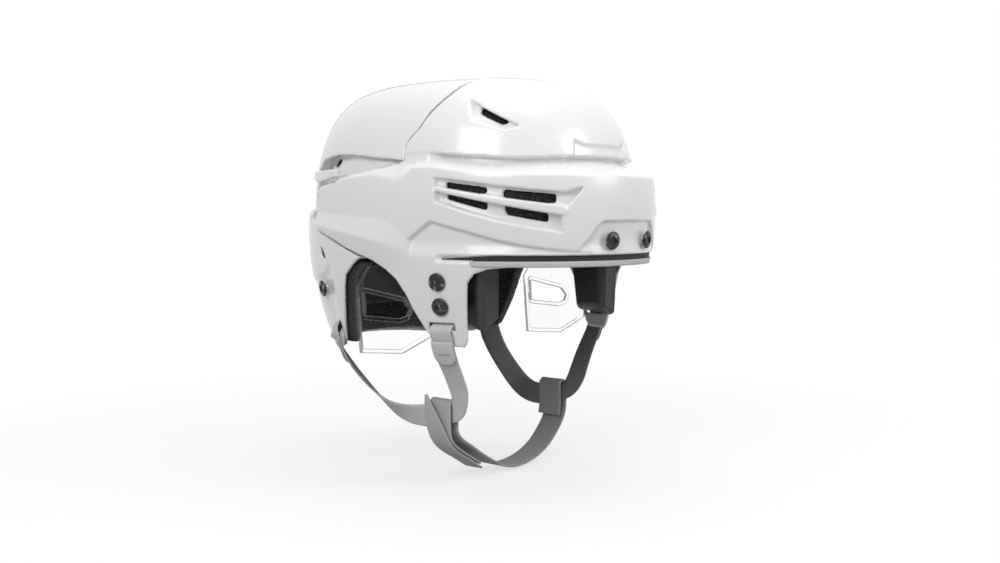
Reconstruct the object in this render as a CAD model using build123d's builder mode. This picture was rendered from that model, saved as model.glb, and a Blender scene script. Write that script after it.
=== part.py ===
import os
from collections import namedtuple
from math import cos, pi, sin

from build123d import *

os.makedirs("parts", exist_ok=True)

# The origin is the middle of the head opening at the level of the brow's lower edge.
# +Z is up, the face opening looks along -Y and the wearer's right hand is at -X.

# Upper dome of the front shell
dome_front = 119.0
dome_rear = 126.0
dome_half = 97.0
dome_top = 125.5
widest_level = 36.0

# Steps out from the dome to the thick side band, and the level of its ledge
band_step_front = 16.0
band_step_rear = 5.5
band_step_side = 4.0
ledge_low = 57.0
ledge_rise = 9.0

# Steps from the dome to the rear shell's crown and to its lower half
crown_step_rear = 5.0
crown_step_side = 2.0
crown_step_top = 1.5
skirt_step_rear = 11.0
skirt_step_side = 2.0
skirt_level = 20.0
skirt_ledge_low = 32.0
skirt_ledge_rise = 5.0

# Room for the head, and the soft pads between the head and the foam
head_front = 98.0
head_rear = 102.0
head_half = 79.0
head_top = 104.0
head_level = 20.0
pad_depth = 6.5

# Walls, gaps and travel
wall = 2.5
running_gap = 0.4
seat_gap = 0.3
travel = 12.0
seam_overlap = 14.0
taper_depth = 100.0
overrun = 5.0
side_reach = 160.0
bottom_level = -66.0

# Brow lip
lip_low = -1.0
lip_high = 5.0
lip_step = 1.4

# Webbing
webbing_width = 16.0
webbing_thickness = 1.4
chin_width = 20.0
chin_thickness = 1.6
strap_slot_height = 5.6
strap_slot_length = 18.5
strap_slot_level = -41.0
strap_place = -46.0
rear_slot_place = 64.5
rear_slot_level = -49.2
rear_slot_length = 21.0
rear_slot_drop_share = -0.42
tab_width_shares = (1.0, 1.0, 0.7)
tab_start = 3
tab_thickness = 1.2
tab_gap = 0.3
chin_place = -24.0
pad_low = 12.0
pad_high = 46.0
forehead_back = 62.0
crown_pad_half = 34.0
crown_pad_level = 80.0
nape_pad_front = 70.0
nape_pad_low = -38.0
nape_pad_high = 8.0
side_pad_front = 4.0
side_pad_back = 58.0
side_pad_low = 26.0
side_pad_high = 56.0
pad_round = 2.0
tail_gap = 0.4

# Screws and their nuts
screw_head_radius = 6.0
screw_head_height = 2.4
screw_shank_radius = 2.4
screw_seat_gap = 0.45
screw_slot_width = 1.4
screw_slot_depth = 1.0
nut_flange_radius = 7.0
nut_flange_height = 1.0
nut_barrel_radius = 3.4
fit_gap = 0.05
guard_boss_radius = 6.5
guard_boss_depth = 14.5
nut_room = 3.0
liner_step = 9.0
strap_room = 4.0
brow_screw_spacing = 40.0
brow_screw_level = 15.0
temple_screw_levels = (-11.5, -27.5)
temple_screw_place = -48.0
rear_screw_place = 71.0
rear_screw_level = -21.0

# Clear ear guards
guard_half = 86.5
guard_thickness = 2.0
guard_rim_width = 3.0
guard_rim_height = 1.2
guard_place = -10.0
guard_lean_share = 0.115

# Size latches on the side arms
latch_start = 46.0
latch_end = 86.0
latch_height = 5.6
latch_proud = 1.0
latch_pin_radius = 0.9
latch_pin_depth = 6.0
latch_barrel_radius = 2.6

# Shapes of the forms, as powers and shares
plan_power_share = 2.2
dome_round_share = 0.45
crown_round_share = 0.38
head_round_share = 0.6
band_taper_share = 0.15
skirt_taper_share = 0.20
dome_taper_share = 0.12
screw_taper_share = 25.0
point_count = 20
hole_side_count = 8
level_shares = (0.25, 0.45, 0.62, 0.76, 0.87, 0.94, 0.975, 0.992, 0.999)

reach = dome_front + band_step_front
ledge_high = ledge_low + ledge_rise
skirt_high = skirt_ledge_low + skirt_ledge_rise
arm_top = ledge_low
latch_low = arm_top + running_gap

Form = namedtuple("Form", "front rear half top widest round_share taper_share")

dome = Form(dome_front, dome_rear, dome_half, dome_top, widest_level,
            dome_round_share, dome_taper_share)
band = Form(reach, dome_rear + band_step_rear, dome_half + band_step_side, dome_top,
            widest_level, dome_round_share, band_taper_share)
crown = Form(dome_front, dome_rear + crown_step_rear, dome_half - crown_step_side,
             dome_top - crown_step_top, widest_level, crown_round_share, dome_taper_share)
skirt = Form(dome_front, dome_rear + skirt_step_rear, dome_half + skirt_step_side,
             dome_top, skirt_level, dome_round_share, skirt_taper_share)
head = Form(head_front, head_rear, head_half, head_top, head_level,
            head_round_share, dome_taper_share)


def inset(form, depth):
    """The same form, smaller all round by a depth."""
    return form._replace(front=form.front - depth, rear=form.rear - depth,
                         half=form.half - depth, top=form.top - depth)


def spread(form, level):
    """How far the outline at a level is drawn in, as a share of the widest one."""
    if level > form.widest:
        rise = (level - form.widest) / (form.top - form.widest)
        return (1 - rise**2) ** (form.round_share / 2)
    drop = (form.widest - level) / taper_depth
    return 1 - form.taper_share * drop**2


def outline(form, level):
    """Points round a form at a level, starting at the front."""
    share = spread(form, level)
    points = []
    for index in range(point_count):
        turn = 2 * pi * index / point_count
        across, along = sin(turn), -cos(turn)
        depth = form.rear if along > 0 else form.front
        x = abs(across) ** (2 / plan_power_share) * form.half * share
        y = abs(along) ** (2 / plan_power_share) * depth * share
        points.append((x if across > 0 else -x, y if along > 0 else -y))
    return points


def side_of(form, y, level):
    """Half width of a form at a place along it and a level."""
    share = spread(form, level)
    depth = form.rear if y > 0 else form.front
    part = (abs(y) / (depth * share)) ** plan_power_share
    return form.half * share * (1 - part) ** (1 / plan_power_share)


def level_face(form, level):
    """The flat face inside a form's outline at a level."""
    with BuildSketch(Plane.XY.offset(level)) as face:
        with BuildLine():
            Spline(*outline(form, level), periodic=True)
        make_face()
    return face.sketch


def stack(form, low, high=None):
    """The part of a form between two levels, or from a level to the crown."""
    levels = [low]
    if low < form.widest:
        middle = (low + form.widest) / 2
        levels += [level for level in (middle, form.widest) if high is None or level < high]
    if high is None:
        rise = form.top - form.widest
        levels += [form.widest + rise * share for share in level_shares
                   if form.widest + rise * share > low + wall]
    else:
        levels.append(high)
    with BuildPart() as solid:
        loft(sections=[level_face(form, level) for level in levels])
    return solid.part


def hollow(form, depth, low, high=None):
    """The wall of a form between two levels, or from a level to the crown."""
    with BuildPart() as ring:
        add(stack(form, low, high))
        add(stack(inset(form, depth), low, high), mode=Mode.SUBTRACT)
    return ring.part


def slope(lower, upper, low, high):
    """The sloping ledge from one form's outline up to another's."""
    with BuildPart() as solid:
        loft(sections=[level_face(lower, low), level_face(upper, high)], ruled=True)
    return solid.part


def hollow_slope(lower, upper, depth, low, high):
    """The wall of a sloping ledge."""
    with BuildPart() as ring:
        add(slope(lower, upper, low, high))
        add(slope(inset(lower, depth), inset(upper, depth), low, high), mode=Mode.SUBTRACT)
    return ring.part


def side_points(shares, forward=0.0, lift=0.0):
    """Side view places from shares of the helmet's reach and of its height."""
    return [(y * reach - forward, z * dome_top + lift) for y, z in shares]


def side_block(points, grow=0.0):
    """A side view outline, made larger all round and pushed right through the helmet."""
    with BuildPart() as block:
        with BuildSketch(Plane.YZ.offset(-side_reach)):
            with BuildLine():
                Polyline(*points, close=True)
            make_face()
            if grow > 0:
                offset(amount=grow, kind=Kind.INTERSECTION)
        extrude(amount=2 * side_reach)
    return block.part


# Side view outlines, as shares of the reach from the centre to the brow and of the height
seam_shares = [(-0.341, 1.08), (-0.333, 1.0), (-0.319, 0.965), (-0.289, 0.869), (-0.237, 0.781),
               (-0.2, 0.693), (-0.148, 0.629), (-0.141, 0.598), (-0.148, 0.526)]
arm_end_shares = [(0.526, 0.414), (0.541, 0.303), (0.563, 0.175)]
arm_low_shares = [(0.452, 0.151), (0.341, 0.111), (0.163, 0.048), (0.037, 0.008),
                  (-0.052, -0.04), (-0.111, -0.088), (-0.163, -0.167), (-0.2, -0.247),
                  (-0.252, -0.34), (-0.281, -0.398)]
temple_shares = [(-0.311, -0.426), (-0.437, -0.43), (-0.456, -0.398), (-0.474, -0.263),
                 (-0.496, -0.095), (-0.526, -0.048), (-0.57, -0.024), (-0.667, -0.008)]
brow_shares = [(-1.15, -0.008), (-1.15, 1.08)]
rear_front_shares = [(-0.222, 0.478), (-0.074, 0.319), (0.044, 0.12)]
ear_edge_shares = [(0.141, 0.024), (0.2, -0.016), (0.274, -0.08), (0.296, -0.151),
                   (0.326, -0.279), (0.378, -0.446)]
nape_shares = [(0.422, -0.494), (0.667, -0.518), (1.15, -0.46), (1.15, 1.08)]
front_liner_shares = [(-0.267, 0.5), (-0.267, 0.064), (-1.15, 0.064), (-1.15, 1.08)]
liner_nape_shares = [(0.333, -0.462), (0.667, -0.478), (1.15, -0.43), (1.15, 1.08)]
track_shares = [(-0.148, 0.526), (0.089, 0.553), (0.244, 0.573), (0.407, 0.581), (0.667, 0.573),
                (0.667, 0.231), (0.563, 0.159), (0.444, 0.127), (0.163, 0.032), (0.03, -0.02)]

ledge_vent_shares = [[(-0.43, 0.402), (-0.607, 0.371), (-0.622, 0.351), (-0.444, 0.382)],
                     [(-0.689, 0.363), (-0.867, 0.339), (-0.859, 0.303), (-0.696, 0.331)],
                     [(-0.43, 0.343), (-0.607, 0.299), (-0.615, 0.267), (-0.437, 0.327)],
                     [(-0.689, 0.275), (-0.83, 0.243), (-0.83, 0.199), (-0.696, 0.243)]]
crown_vent_shares = [(-0.459, 0.797), (-0.467, 0.749), (-0.563, 0.709), (-0.6, 0.717)]
rear_vent_shares = [[(0.489, 0.57), (0.4, 0.562), (0.519, 0.494), (0.57, 0.51)],
                    [(0.53, 0.085), (0.48, 0.04), (0.45, -0.016), (0.52, 0.02)]]

front_outline = side_points(seam_shares)
latch_stop = latch_start - latch_barrel_radius - wall
arm_end = side_points(arm_end_shares)
arm_outline = [(-wall * 7, arm_top + wall * 2), (latch_stop, arm_top + wall), (latch_stop, arm_top),
               (arm_end[0][0], arm_top)]
front_outline = (front_outline + arm_outline + arm_end
                 + side_points(arm_low_shares) + side_points(temple_shares)
                 + side_points(brow_shares))


# The rear shell's tracks clear the front shell over the whole travel
track_rear_share = 0.75
track_side_share = 0.2
track_top_share = 0.13
track = inset(dome, wall + running_gap)
track = track._replace(rear=track.rear - track_rear_share * travel,
                       half=track.half - track_side_share * travel,
                       top=track.top - track_top_share * travel)


def stepped(lower, upper, low, step_low, step_high, depth=0.0):
    """A solid body: an upper form on a wider lower one with a sloping ledge between."""
    lower, upper = inset(lower, depth), inset(upper, depth)
    with BuildPart() as body:
        add(stack(lower, low, step_low))
        add(slope(lower, upper, step_low, step_high))
        add(stack(upper, step_high))
    return body.part


def stepped_wall(lower, upper, low, step_low, step_high):
    """The wall of such a body."""
    with BuildPart() as body:
        add(hollow(lower, wall, low, step_low))
        add(hollow_slope(lower, upper, wall, step_low, step_high))
        add(hollow(upper, wall, step_high))
    return body.part


def outward(form, y, level, side):
    """A plane on a form's side wall, square to the wall, with its middle on it."""
    x = side_of(form, y, level)
    lean = (x - side_of(form, y - wall, level)) / wall
    rise = (side_of(form, y, level + wall) - x) / wall
    return Plane(origin=(side * x, y, level), x_dir=(side * lean, 1, 0),
                 z_dir=(side, -lean, -rise))


def front_of(form, x, level):
    """How far a form reaches forward at a place across it and a level."""
    share = spread(form, level)
    part = (abs(x) / (form.half * share)) ** plan_power_share
    return form.front * share * (1 - part) ** (1 / plan_power_share)


def forward(form, x, level):
    """A plane on a form's front wall, square to the wall, with its middle on it."""
    y = front_of(form, x, level)
    lean = (front_of(form, x + wall, level) - front_of(form, x - wall, level)) / (2 * wall)
    rise = (front_of(form, x, level + wall) - y) / wall
    return Plane(origin=(x, -y, level), x_dir=(1, -lean, 0), z_dir=(-lean, -1, -rise))


def half_block(side):
    """Everything on one side of the helmet."""
    with BuildPart() as block:
        with BuildSketch(Plane.XY.offset(-side_reach)):
            with Locations((side * side_reach / 2, 0)):
                Rectangle(side_reach, 2 * side_reach)
        extrude(amount=2 * side_reach)
    return block.part


def upright_box(low_corner, high_corner):
    """A block between two corners."""
    width, depth, height = [high - low for low, high in zip(low_corner, high_corner)]
    middle = (low_corner[0] + width / 2, low_corner[1] + depth / 2)
    with BuildPart() as block:
        with BuildSketch(Plane.XY.offset(low_corner[2])):
            with Locations(middle):
                Rectangle(width, depth)
        extrude(amount=height)
    return block.part


def rod(plane, radius, start, end):
    """A round bar along a plane's normal between two depths."""
    with BuildPart() as bar:
        with BuildSketch(plane.offset(start)):
            Circle(radius)
        extrude(amount=end - start)
    return bar.part


def key_hole(plane, radius, start, end):
    """An eight-sided hole that lets a round bar of a radius through and keys its collar."""
    with BuildPart() as bar:
        with BuildSketch(plane.offset(start)):
            RegularPolygon(radius, hole_side_count, major_radius=False)
        extrude(amount=end - start)
    return bar.part


def screw(plane, shank):
    """A domed screw with a driver slot, its head seated in a shallow recess."""
    seat = screw_seat_gap
    with BuildPart() as body:
        with BuildSketch(plane.offset(seat)):
            Circle(screw_head_radius)
        extrude(amount=screw_head_height, taper=screw_taper_share)
        with BuildSketch(plane.offset(seat - shank)):
            Circle(screw_shank_radius)
        extrude(amount=shank)
        with BuildSketch(plane.offset(seat + screw_head_height - screw_slot_depth)):
            Rectangle(2 * screw_head_radius, screw_slot_width)
        extrude(amount=2 * screw_slot_depth, mode=Mode.SUBTRACT)
    return body.part


def nut(plane, depth, barrel):
    """A flanged nut behind a wall, its barrel reaching out towards the screw's head."""
    hole = screw_shank_radius + fit_gap
    with BuildPart() as body:
        with BuildSketch(plane.offset(-depth - nut_flange_height)):
            Circle(nut_flange_radius)
            Circle(hole, mode=Mode.SUBTRACT)
        extrude(amount=nut_flange_height)
        with BuildSketch(plane.offset(-depth)):
            Circle(nut_barrel_radius)
            Circle(hole, mode=Mode.SUBTRACT)
        extrude(amount=barrel)
    return body.part


def webbing(route, across, widths, thickness, lift=0.0, first=0):
    """A flat strap: straight strips between places on a route, turned by its width direction.

    The lift moves the strap off the route, towards its face. A strap that starts at a later
    place has as many sections as it has widths."""
    sections = []
    for index, place in enumerate(route[first:first + len(widths)], first):
        before = Vector(*route[max(index - 1, 0)])
        after = Vector(*route[min(index + 1, len(route) - 1)])
        along = (after - before).normalized()
        side = Vector(*across[index])
        side = side - along * side.dot(along)
        with BuildSketch(Plane(origin=place, x_dir=side, z_dir=along)) as section:
            with Locations((0, lift)):
                Rectangle(widths[index - first], thickness)
        sections.append(section.sketch)
    with BuildPart() as strap:
        loft(sections=sections, ruled=True)
    return strap.part


def places(shares, side):
    """Places from shares of the half width, the reach and the height."""
    return [(side * x * dome_half, y * reach, z * dome_top) for x, y, z in shares]


def turned(directions, side):
    """Directions on one side of the helmet."""
    return [(side * x, y, z) for x, y, z in directions]


def finish(piece, name):
    """Names a finished piece and writes it."""
    piece.label = name
    export_step(piece, f"parts/{name}.step")
    print(name, round(piece.volume), len(piece.solids()), piece.is_valid, flush=True)


sides = {"right": -1, "left": 1}

# Screw places
brow_planes = [forward(band, side * brow_screw_spacing / 2, brow_screw_level)
               for side in sides.values()]
temple_planes = {name: [outward(band, temple_screw_place, level, side)
                        for level in temple_screw_levels] for name, side in sides.items()}
rear_planes = {name: outward(skirt, rear_screw_place, rear_screw_level, side)
               for name, side in sides.items()}

# Strap slots, as side view outlines
front_slot = [(strap_place - strap_slot_length / 2, strap_slot_level - strap_slot_height / 2),
              (strap_place + strap_slot_length / 2, strap_slot_level - strap_slot_height / 2),
              (strap_place + strap_slot_length / 2, strap_slot_level + strap_slot_height / 2),
              (strap_place - strap_slot_length / 2, strap_slot_level + strap_slot_height / 2)]
slot_lean = rear_slot_length / 2 * rear_slot_drop_share
rear_slot = [(rear_slot_place - rear_slot_length / 2, rear_slot_level - slot_lean - strap_slot_height / 2),
             (rear_slot_place + rear_slot_length / 2, rear_slot_level + slot_lean - strap_slot_height / 2),
             (rear_slot_place + rear_slot_length / 2, rear_slot_level + slot_lean + strap_slot_height / 2),
             (rear_slot_place - rear_slot_length / 2, rear_slot_level - slot_lean + strap_slot_height / 2)]

# Front shell: the upper dome, the thick side band with its arms, and the temples
latch_x = side_of(inset(band, wall / 2), latch_start, ledge_low)
latch_planes = {name: Plane(origin=(side * latch_x, latch_start, arm_top), x_dir=(1, 0, 0),
                            z_dir=(0, 0, 1)) for name, side in sides.items()}
front_planes = brow_planes + temple_planes["right"] + temple_planes["left"]
front_holes = [side_block(side_points(vent)) for vent in ledge_vent_shares + [crown_vent_shares]]
front_holes.append(side_block(front_slot))
front_holes += [key_hole(plane, nut_barrel_radius + fit_gap, -2 * wall, overrun)
                for plane in front_planes]
front_holes += [key_hole(plane, latch_pin_radius + fit_gap, -latch_pin_depth, overrun)
                for plane in latch_planes.values()]
with BuildPart() as front_shell:
    add(stepped_wall(band, dome, bottom_level, ledge_low, ledge_high))
    add(side_block(front_outline), mode=Mode.INTERSECT)
    add(front_holes, mode=Mode.SUBTRACT)
finish(front_shell.part, "front_shell")

# Brow trim: the soft strip along the brow's lower edge
brow_block = side_block([(-side_reach, lip_low), (-reach / 2, lip_low),
                         (-reach / 2, lip_high), (-side_reach, lip_high)])
with BuildPart() as brow_trim:
    add(stack(inset(band, -lip_step), lip_low, lip_high))
    add(stack(inset(band, -seat_gap), lip_low, lip_high), mode=Mode.SUBTRACT)
    add(brow_block, mode=Mode.INTERSECT)
finish(brow_trim.part, "brow_trim")

# Rear shell: crown, lower half and the tracks under the front shell
flange_points = side_points(seam_shares, forward=seam_overlap)
rear_outline = (flange_points + side_points(rear_front_shares) + side_points(ear_edge_shares)
                + side_points(nape_shares))
above = dome_top + 2 * overrun
under_shell = (side_points(seam_shares[:-1]) + side_points(track_shares)
               + [(-side_reach, side_points(track_shares)[-1][1]), (-side_reach, above)])
rear_block = side_block(rear_outline)
with BuildPart() as track_room:
    add(side_block(under_shell))
    add(stack(track, bottom_level - overrun), mode=Mode.SUBTRACT)
with BuildPart() as rear_room:
    add(stepped(skirt, crown, bottom_level - overrun, skirt_ledge_low, skirt_high, wall))
    add(side_block(under_shell, wall), mode=Mode.SUBTRACT)
rear_holes = [side_block(side_points(vent)) for vent in rear_vent_shares]
rear_holes.append(side_block(rear_slot))
rear_holes += [key_hole(plane, nut_barrel_radius + fit_gap, -2 * wall, overrun)
               for plane in rear_planes.values()]
with BuildPart() as rear_shell:
    add(stepped(skirt, crown, bottom_level, skirt_ledge_low, skirt_high))
    add(rear_block, mode=Mode.INTERSECT)
    add(track_room.part, mode=Mode.SUBTRACT)
    add(rear_room.part, mode=Mode.SUBTRACT)
    add(stack(inset(track, wall), bottom_level - overrun), mode=Mode.SUBTRACT)
    add(rear_holes, mode=Mode.SUBTRACT)
finish(rear_shell.part, "rear_shell")

# Foam liners inside both shells
pads = inset(head, -pad_depth - seat_gap)
liner_depth = wall + seat_gap
front_liner_points = (side_points(seam_shares[:-1], forward=seam_overlap + 2 * seat_gap)
                      + side_points(front_liner_shares))
with BuildPart() as front_liner:
    add(stepped(band, dome, bottom_level, ledge_low, ledge_high, liner_depth))
    add(side_block(front_liner_points), mode=Mode.INTERSECT)
    add(stack(pads, bottom_level - overrun), mode=Mode.SUBTRACT)
    add([key_hole(plane, nut_flange_radius + seat_gap, -nut_room * 2, overrun)
         for plane in brow_planes], mode=Mode.SUBTRACT)
finish(front_liner.part, "front_liner")

rear_liner_points = (side_points(seam_shares[:-1], forward=seam_overlap - 2 * seat_gap)
                     + side_points(rear_front_shares) + side_points(ear_edge_shares, forward=liner_step)
                     + side_points(liner_nape_shares))
with BuildPart() as liner_room:
    add(side_block(under_shell, liner_depth))
    add(stack(inset(track, liner_depth), bottom_level - overrun), mode=Mode.SUBTRACT)
with BuildPart() as rear_liner:
    add(stepped(skirt, crown, bottom_level, skirt_ledge_low, skirt_high, liner_depth))
    add(side_block(rear_liner_points), mode=Mode.INTERSECT)
    add(liner_room.part, mode=Mode.SUBTRACT)
    add(stack(pads, bottom_level - overrun), mode=Mode.SUBTRACT)
    add(side_block(rear_slot, strap_room), mode=Mode.SUBTRACT)
    add([key_hole(plane, nut_flange_radius + seat_gap, -nut_room * 2, overrun)
         for plane in rear_planes.values()], mode=Mode.SUBTRACT)
finish(rear_liner.part, "rear_liner")


# Soft pads that touch the head, all cut from one layer between the head and the foam
with BuildPart() as pad_layer:
    add(stack(inset(head, -pad_depth), bottom_level - overrun))
    add(stack(head, bottom_level - overrun), mode=Mode.SUBTRACT)


def head_pad(block):
    """The part of the pad layer inside a block."""
    with BuildPart() as pad:
        add(pad_layer.part)
        add(block, mode=Mode.INTERSECT)
    return pad.part


forehead_pad = head_pad(side_block([(-side_reach, pad_low), (-forehead_back, pad_low),
                                    (-forehead_back, pad_high), (-side_reach, pad_high)]))
finish(forehead_pad, "forehead_pad")
crown_pad = head_pad(upright_box((-crown_pad_half, -crown_pad_half, crown_pad_level),
                                 (crown_pad_half, crown_pad_half, dome_top)))
finish(crown_pad, "crown_pad")
nape_pad = head_pad(side_block([(nape_pad_front, nape_pad_low), (side_reach, nape_pad_low),
                                (side_reach, nape_pad_high), (nape_pad_front, nape_pad_high)]))
finish(nape_pad, "nape_pad")
for name, side in sides.items():
    inner, outer = sorted((side * dome_half / 2, side * side_reach))
    side_pad = head_pad(upright_box((inner, side_pad_front, side_pad_low),
                                    (outer, side_pad_back, side_pad_high)))
    finish(side_pad, f"side_pad_{name}")


def rounded_face(plane, corners, radius):
    """A flat four-cornered face with round corners."""
    with BuildSketch(plane) as face:
        with BuildLine():
            Polyline(*corners, close=True)
        make_face()
        fillet(face.vertices(), radius)
    return face.sketch


# Temple pads: thick cushions beside the face opening, crowned at the front
temple_pad_shares = [(0.533, 0.81, 0.60, 0.60, 0.76, 0.035, -0.285, -0.35),
                     (0.500, 0.82, 0.585, 0.585, 0.765, 0.055, -0.295, -0.365),
                     (0.422, 0.778, 0.61, 0.61, 0.75, 0.059, -0.295, -0.365),
                     (0.282, 0.765, 0.69, 0.69, 0.742, 0.055, -0.275, -0.335)]
for name, side in sides.items():
    faces = []
    for forward, outer_top, inner_top, inner_low, outer_low, top, low_in, low_out in temple_pad_shares:
        corners = [(side * outer_top * dome_half, top * dome_top),
                   (side * inner_top * dome_half, top * dome_top),
                   (side * inner_low * dome_half, low_in * dome_top),
                   (side * outer_low * dome_half, low_out * dome_top)]
        faces.append(rounded_face(Plane.XZ.offset(forward * reach), corners, pad_round))
    with BuildPart() as temple_pad:
        loft(sections=faces)
    finish(temple_pad.part, f"temple_pad_{name}")

# Clear ear guards, with a raised rim round the ear hole and bosses for the temple screws
guard_shares = [(0.141, -0.032), (0.215, -0.143), (0.2, -0.343), (0.185, -0.5), (-0.081, -0.488),
                (-0.274, -0.375), (-0.274, -0.27), (-0.43, -0.262), (-0.43, -0.024), (-0.15, 0.008)]
ear_hole_shares = [(0.163, -0.167), (-0.089, -0.207), (-0.119, -0.271), (-0.096, -0.287),
                   (0.156, -0.295)]
for name, side in sides.items():
    middle = Plane(origin=(side * guard_half, guard_place, 0),
                   x_dir=(side * guard_lean_share, 1, 0), z_dir=(side, -guard_lean_share, 0))
    flip = 1 if middle.y_dir.Z > 0 else -1
    outer_points = [(y * reach - guard_place, flip * z * dome_top) for y, z in guard_shares]
    hole_points = [(y * reach - guard_place, flip * z * dome_top) for y, z in ear_hole_shares]
    if middle.x_dir.Y < 0:
        outer_points = [(-x, y) for x, y in outer_points]
        hole_points = [(-x, y) for x, y in hole_points]
    boss_planes = temple_planes[name]
    with BuildPart() as guard:
        with BuildSketch(middle.offset(-guard_thickness / 2)):
            with BuildLine():
                Polyline(*outer_points, close=True)
            make_face()
            with BuildLine():
                Polyline(*hole_points, close=True)
            make_face(mode=Mode.SUBTRACT)
        extrude(amount=guard_thickness)
        with BuildSketch(middle.offset(guard_thickness / 2)):
            with BuildLine():
                Polyline(*hole_points, close=True)
            make_face()
            offset(amount=guard_rim_width, kind=Kind.INTERSECTION)
            with BuildLine():
                Polyline(*hole_points, close=True)
            make_face(mode=Mode.SUBTRACT)
        extrude(amount=guard_rim_height)
        for plane in boss_planes:
            add(rod(plane, guard_boss_radius, -guard_boss_depth, -wall - 2 * seat_gap))
        for plane in boss_planes:
            add(rod(plane, nut_barrel_radius + fit_gap, -guard_boss_depth - overrun, overrun),
                mode=Mode.SUBTRACT)
    finish(guard.part, f"ear_guard_{name}")

# Screws and their nuts
with BuildPart() as brow_screws:
    for plane in brow_planes:
        add(screw(plane, wall + nut_room))
finish(brow_screws.part, "brow_screws")
with BuildPart() as brow_nuts:
    for plane in brow_planes:
            add(nut(plane, wall + 3 * seat_gap, wall))
finish(brow_nuts.part, "brow_nuts")
for name, side in sides.items():
    with BuildPart() as temple_screws:
        for plane in temple_planes[name]:
            add(screw(plane, guard_boss_depth + nut_flange_height))
    finish(temple_screws.part, f"temple_screws_{name}")
    with BuildPart() as temple_nuts:
        for plane in temple_planes[name]:
            add(nut(plane, guard_boss_depth + seat_gap, guard_boss_depth - wall))
    finish(temple_nuts.part, f"temple_nuts_{name}")
    finish(screw(rear_planes[name], wall + nut_room), f"rear_screw_{name}")
    finish(nut(rear_planes[name], wall + 2 * seat_gap, wall), f"rear_nut_{name}")

# Size latches: levers on the ends of the side arms, each on an upright pin
latch_outer = [(latch_start, latch_low), (latch_end, latch_low),
               (latch_end, latch_low + latch_height), (latch_start, latch_low + latch_height)]
with BuildPart() as latch_wall:
    add(slope(inset(band, -latch_proud), inset(dome, -latch_proud), ledge_low, ledge_high))
    add(slope(inset(band, wall), inset(dome, wall), ledge_low, ledge_high), mode=Mode.SUBTRACT)
    add(side_block(latch_outer), mode=Mode.INTERSECT)
for name, side in sides.items():
    plane = latch_planes[name]
    pin_room = latch_pin_radius + fit_gap
    with BuildPart() as latch:
        add(latch_wall.part)
        add(half_block(side), mode=Mode.INTERSECT)
        add(rod(plane, latch_barrel_radius, running_gap, running_gap + latch_height))
        add(rod(plane, pin_room, -overrun, 2 * latch_height), mode=Mode.SUBTRACT)
    finish(latch.part, f"size_latch_{name}")
    with BuildPart() as latch_pin:
        add(rod(plane, latch_pin_radius, -latch_pin_depth + seat_gap, latch_height + 2 * running_gap))
        add(rod(plane, 2 * latch_pin_radius, latch_height + 2 * running_gap,
                latch_height + 4 * running_gap))
    finish(latch_pin.part, f"latch_pin_{name}")

# Webbing of the harness: a front and a rear strap on each side, sewn tabs and the chin strap
front_strap_shares = [(0.852, -0.341, -0.284), (0.856, -0.341, -0.306), (0.906, -0.341, -0.343),
                      (0.886, -0.341, -0.398), (0.862, -0.337, -0.446), (0.813, -0.33, -0.514),
                      (0.755, -0.326, -0.59), (0.703, -0.323, -0.665), (0.67, -0.322, -0.725),
                      (0.651, -0.318, -0.773), (0.639, -0.3, -0.809), (0.631, -0.27, -0.829),
                      (0.627, -0.23, -0.833), (0.625, -0.18, -0.833)]
front_turns = [(0.24, 1, 0)] * 5 + [(0.18, 1, 0), (0.1, 1, 0), (0.05, 1, 0), (0, 1, -0.05),
               (0, 1, -0.35), (0, 0.75, -0.9), (0, 0.3, -1), (0, 0.05, -1), (0, 0, -1)]
rear_strap_shares = [(0.771, 0.493, -0.369), (0.784, 0.489, -0.377), (0.838, 0.463, -0.411),
                     (0.837, 0.433, -0.458), (0.821, 0.396, -0.53), (0.802, 0.347, -0.602),
                     (0.781, 0.278, -0.677), (0.757, 0.195, -0.753), (0.728, 0.111, -0.813),
                     (0.687, 0.022, -0.843), (0.645, -0.067, -0.846), (0.628, -0.142, -0.838)]
rear_turns = [(-0.417, 0.833, -0.37)] * 3 + [(-0.6, 0.75, -0.3), (-0.75, 0.6, -0.27),
              (-0.815, 0.5, -0.26), (-0.815, 0.44, -0.3), (-0.78, 0.4, -0.42), (-0.65, 0.3, -0.62),
              (-0.4, 0.2, -0.85), (-0.15, 0.1, -1), (0, 0, -1)]
for name, side in sides.items():
    route = places(front_strap_shares, side)
    strap = webbing(route, turned(front_turns, side), [webbing_width] * len(route), webbing_thickness)
    finish(strap, f"front_strap_{name}")
    route = places(rear_strap_shares, side)
    strap = webbing(route, turned(rear_turns, side), [webbing_width] * len(route), webbing_thickness)
    finish(strap, f"rear_strap_{name}")

# Sewn tabs that close the straps round their slots, with rounded ends
tab_lift = (webbing_thickness + tab_thickness) / 2 + tab_gap
tab_widths = [webbing_width * share for share in tab_width_shares]
for name, side in sides.items():
    tab = webbing(places(front_strap_shares, side), turned(front_turns, side), tab_widths,
                  tab_thickness, side * tab_lift, tab_start)
    finish(tab, f"front_tab_{name}")
    tab = webbing(places(rear_strap_shares, side), turned(rear_turns, side), tab_widths,
                  tab_thickness, side * tab_lift, tab_start)
    finish(tab, f"rear_tab_{name}")

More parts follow.
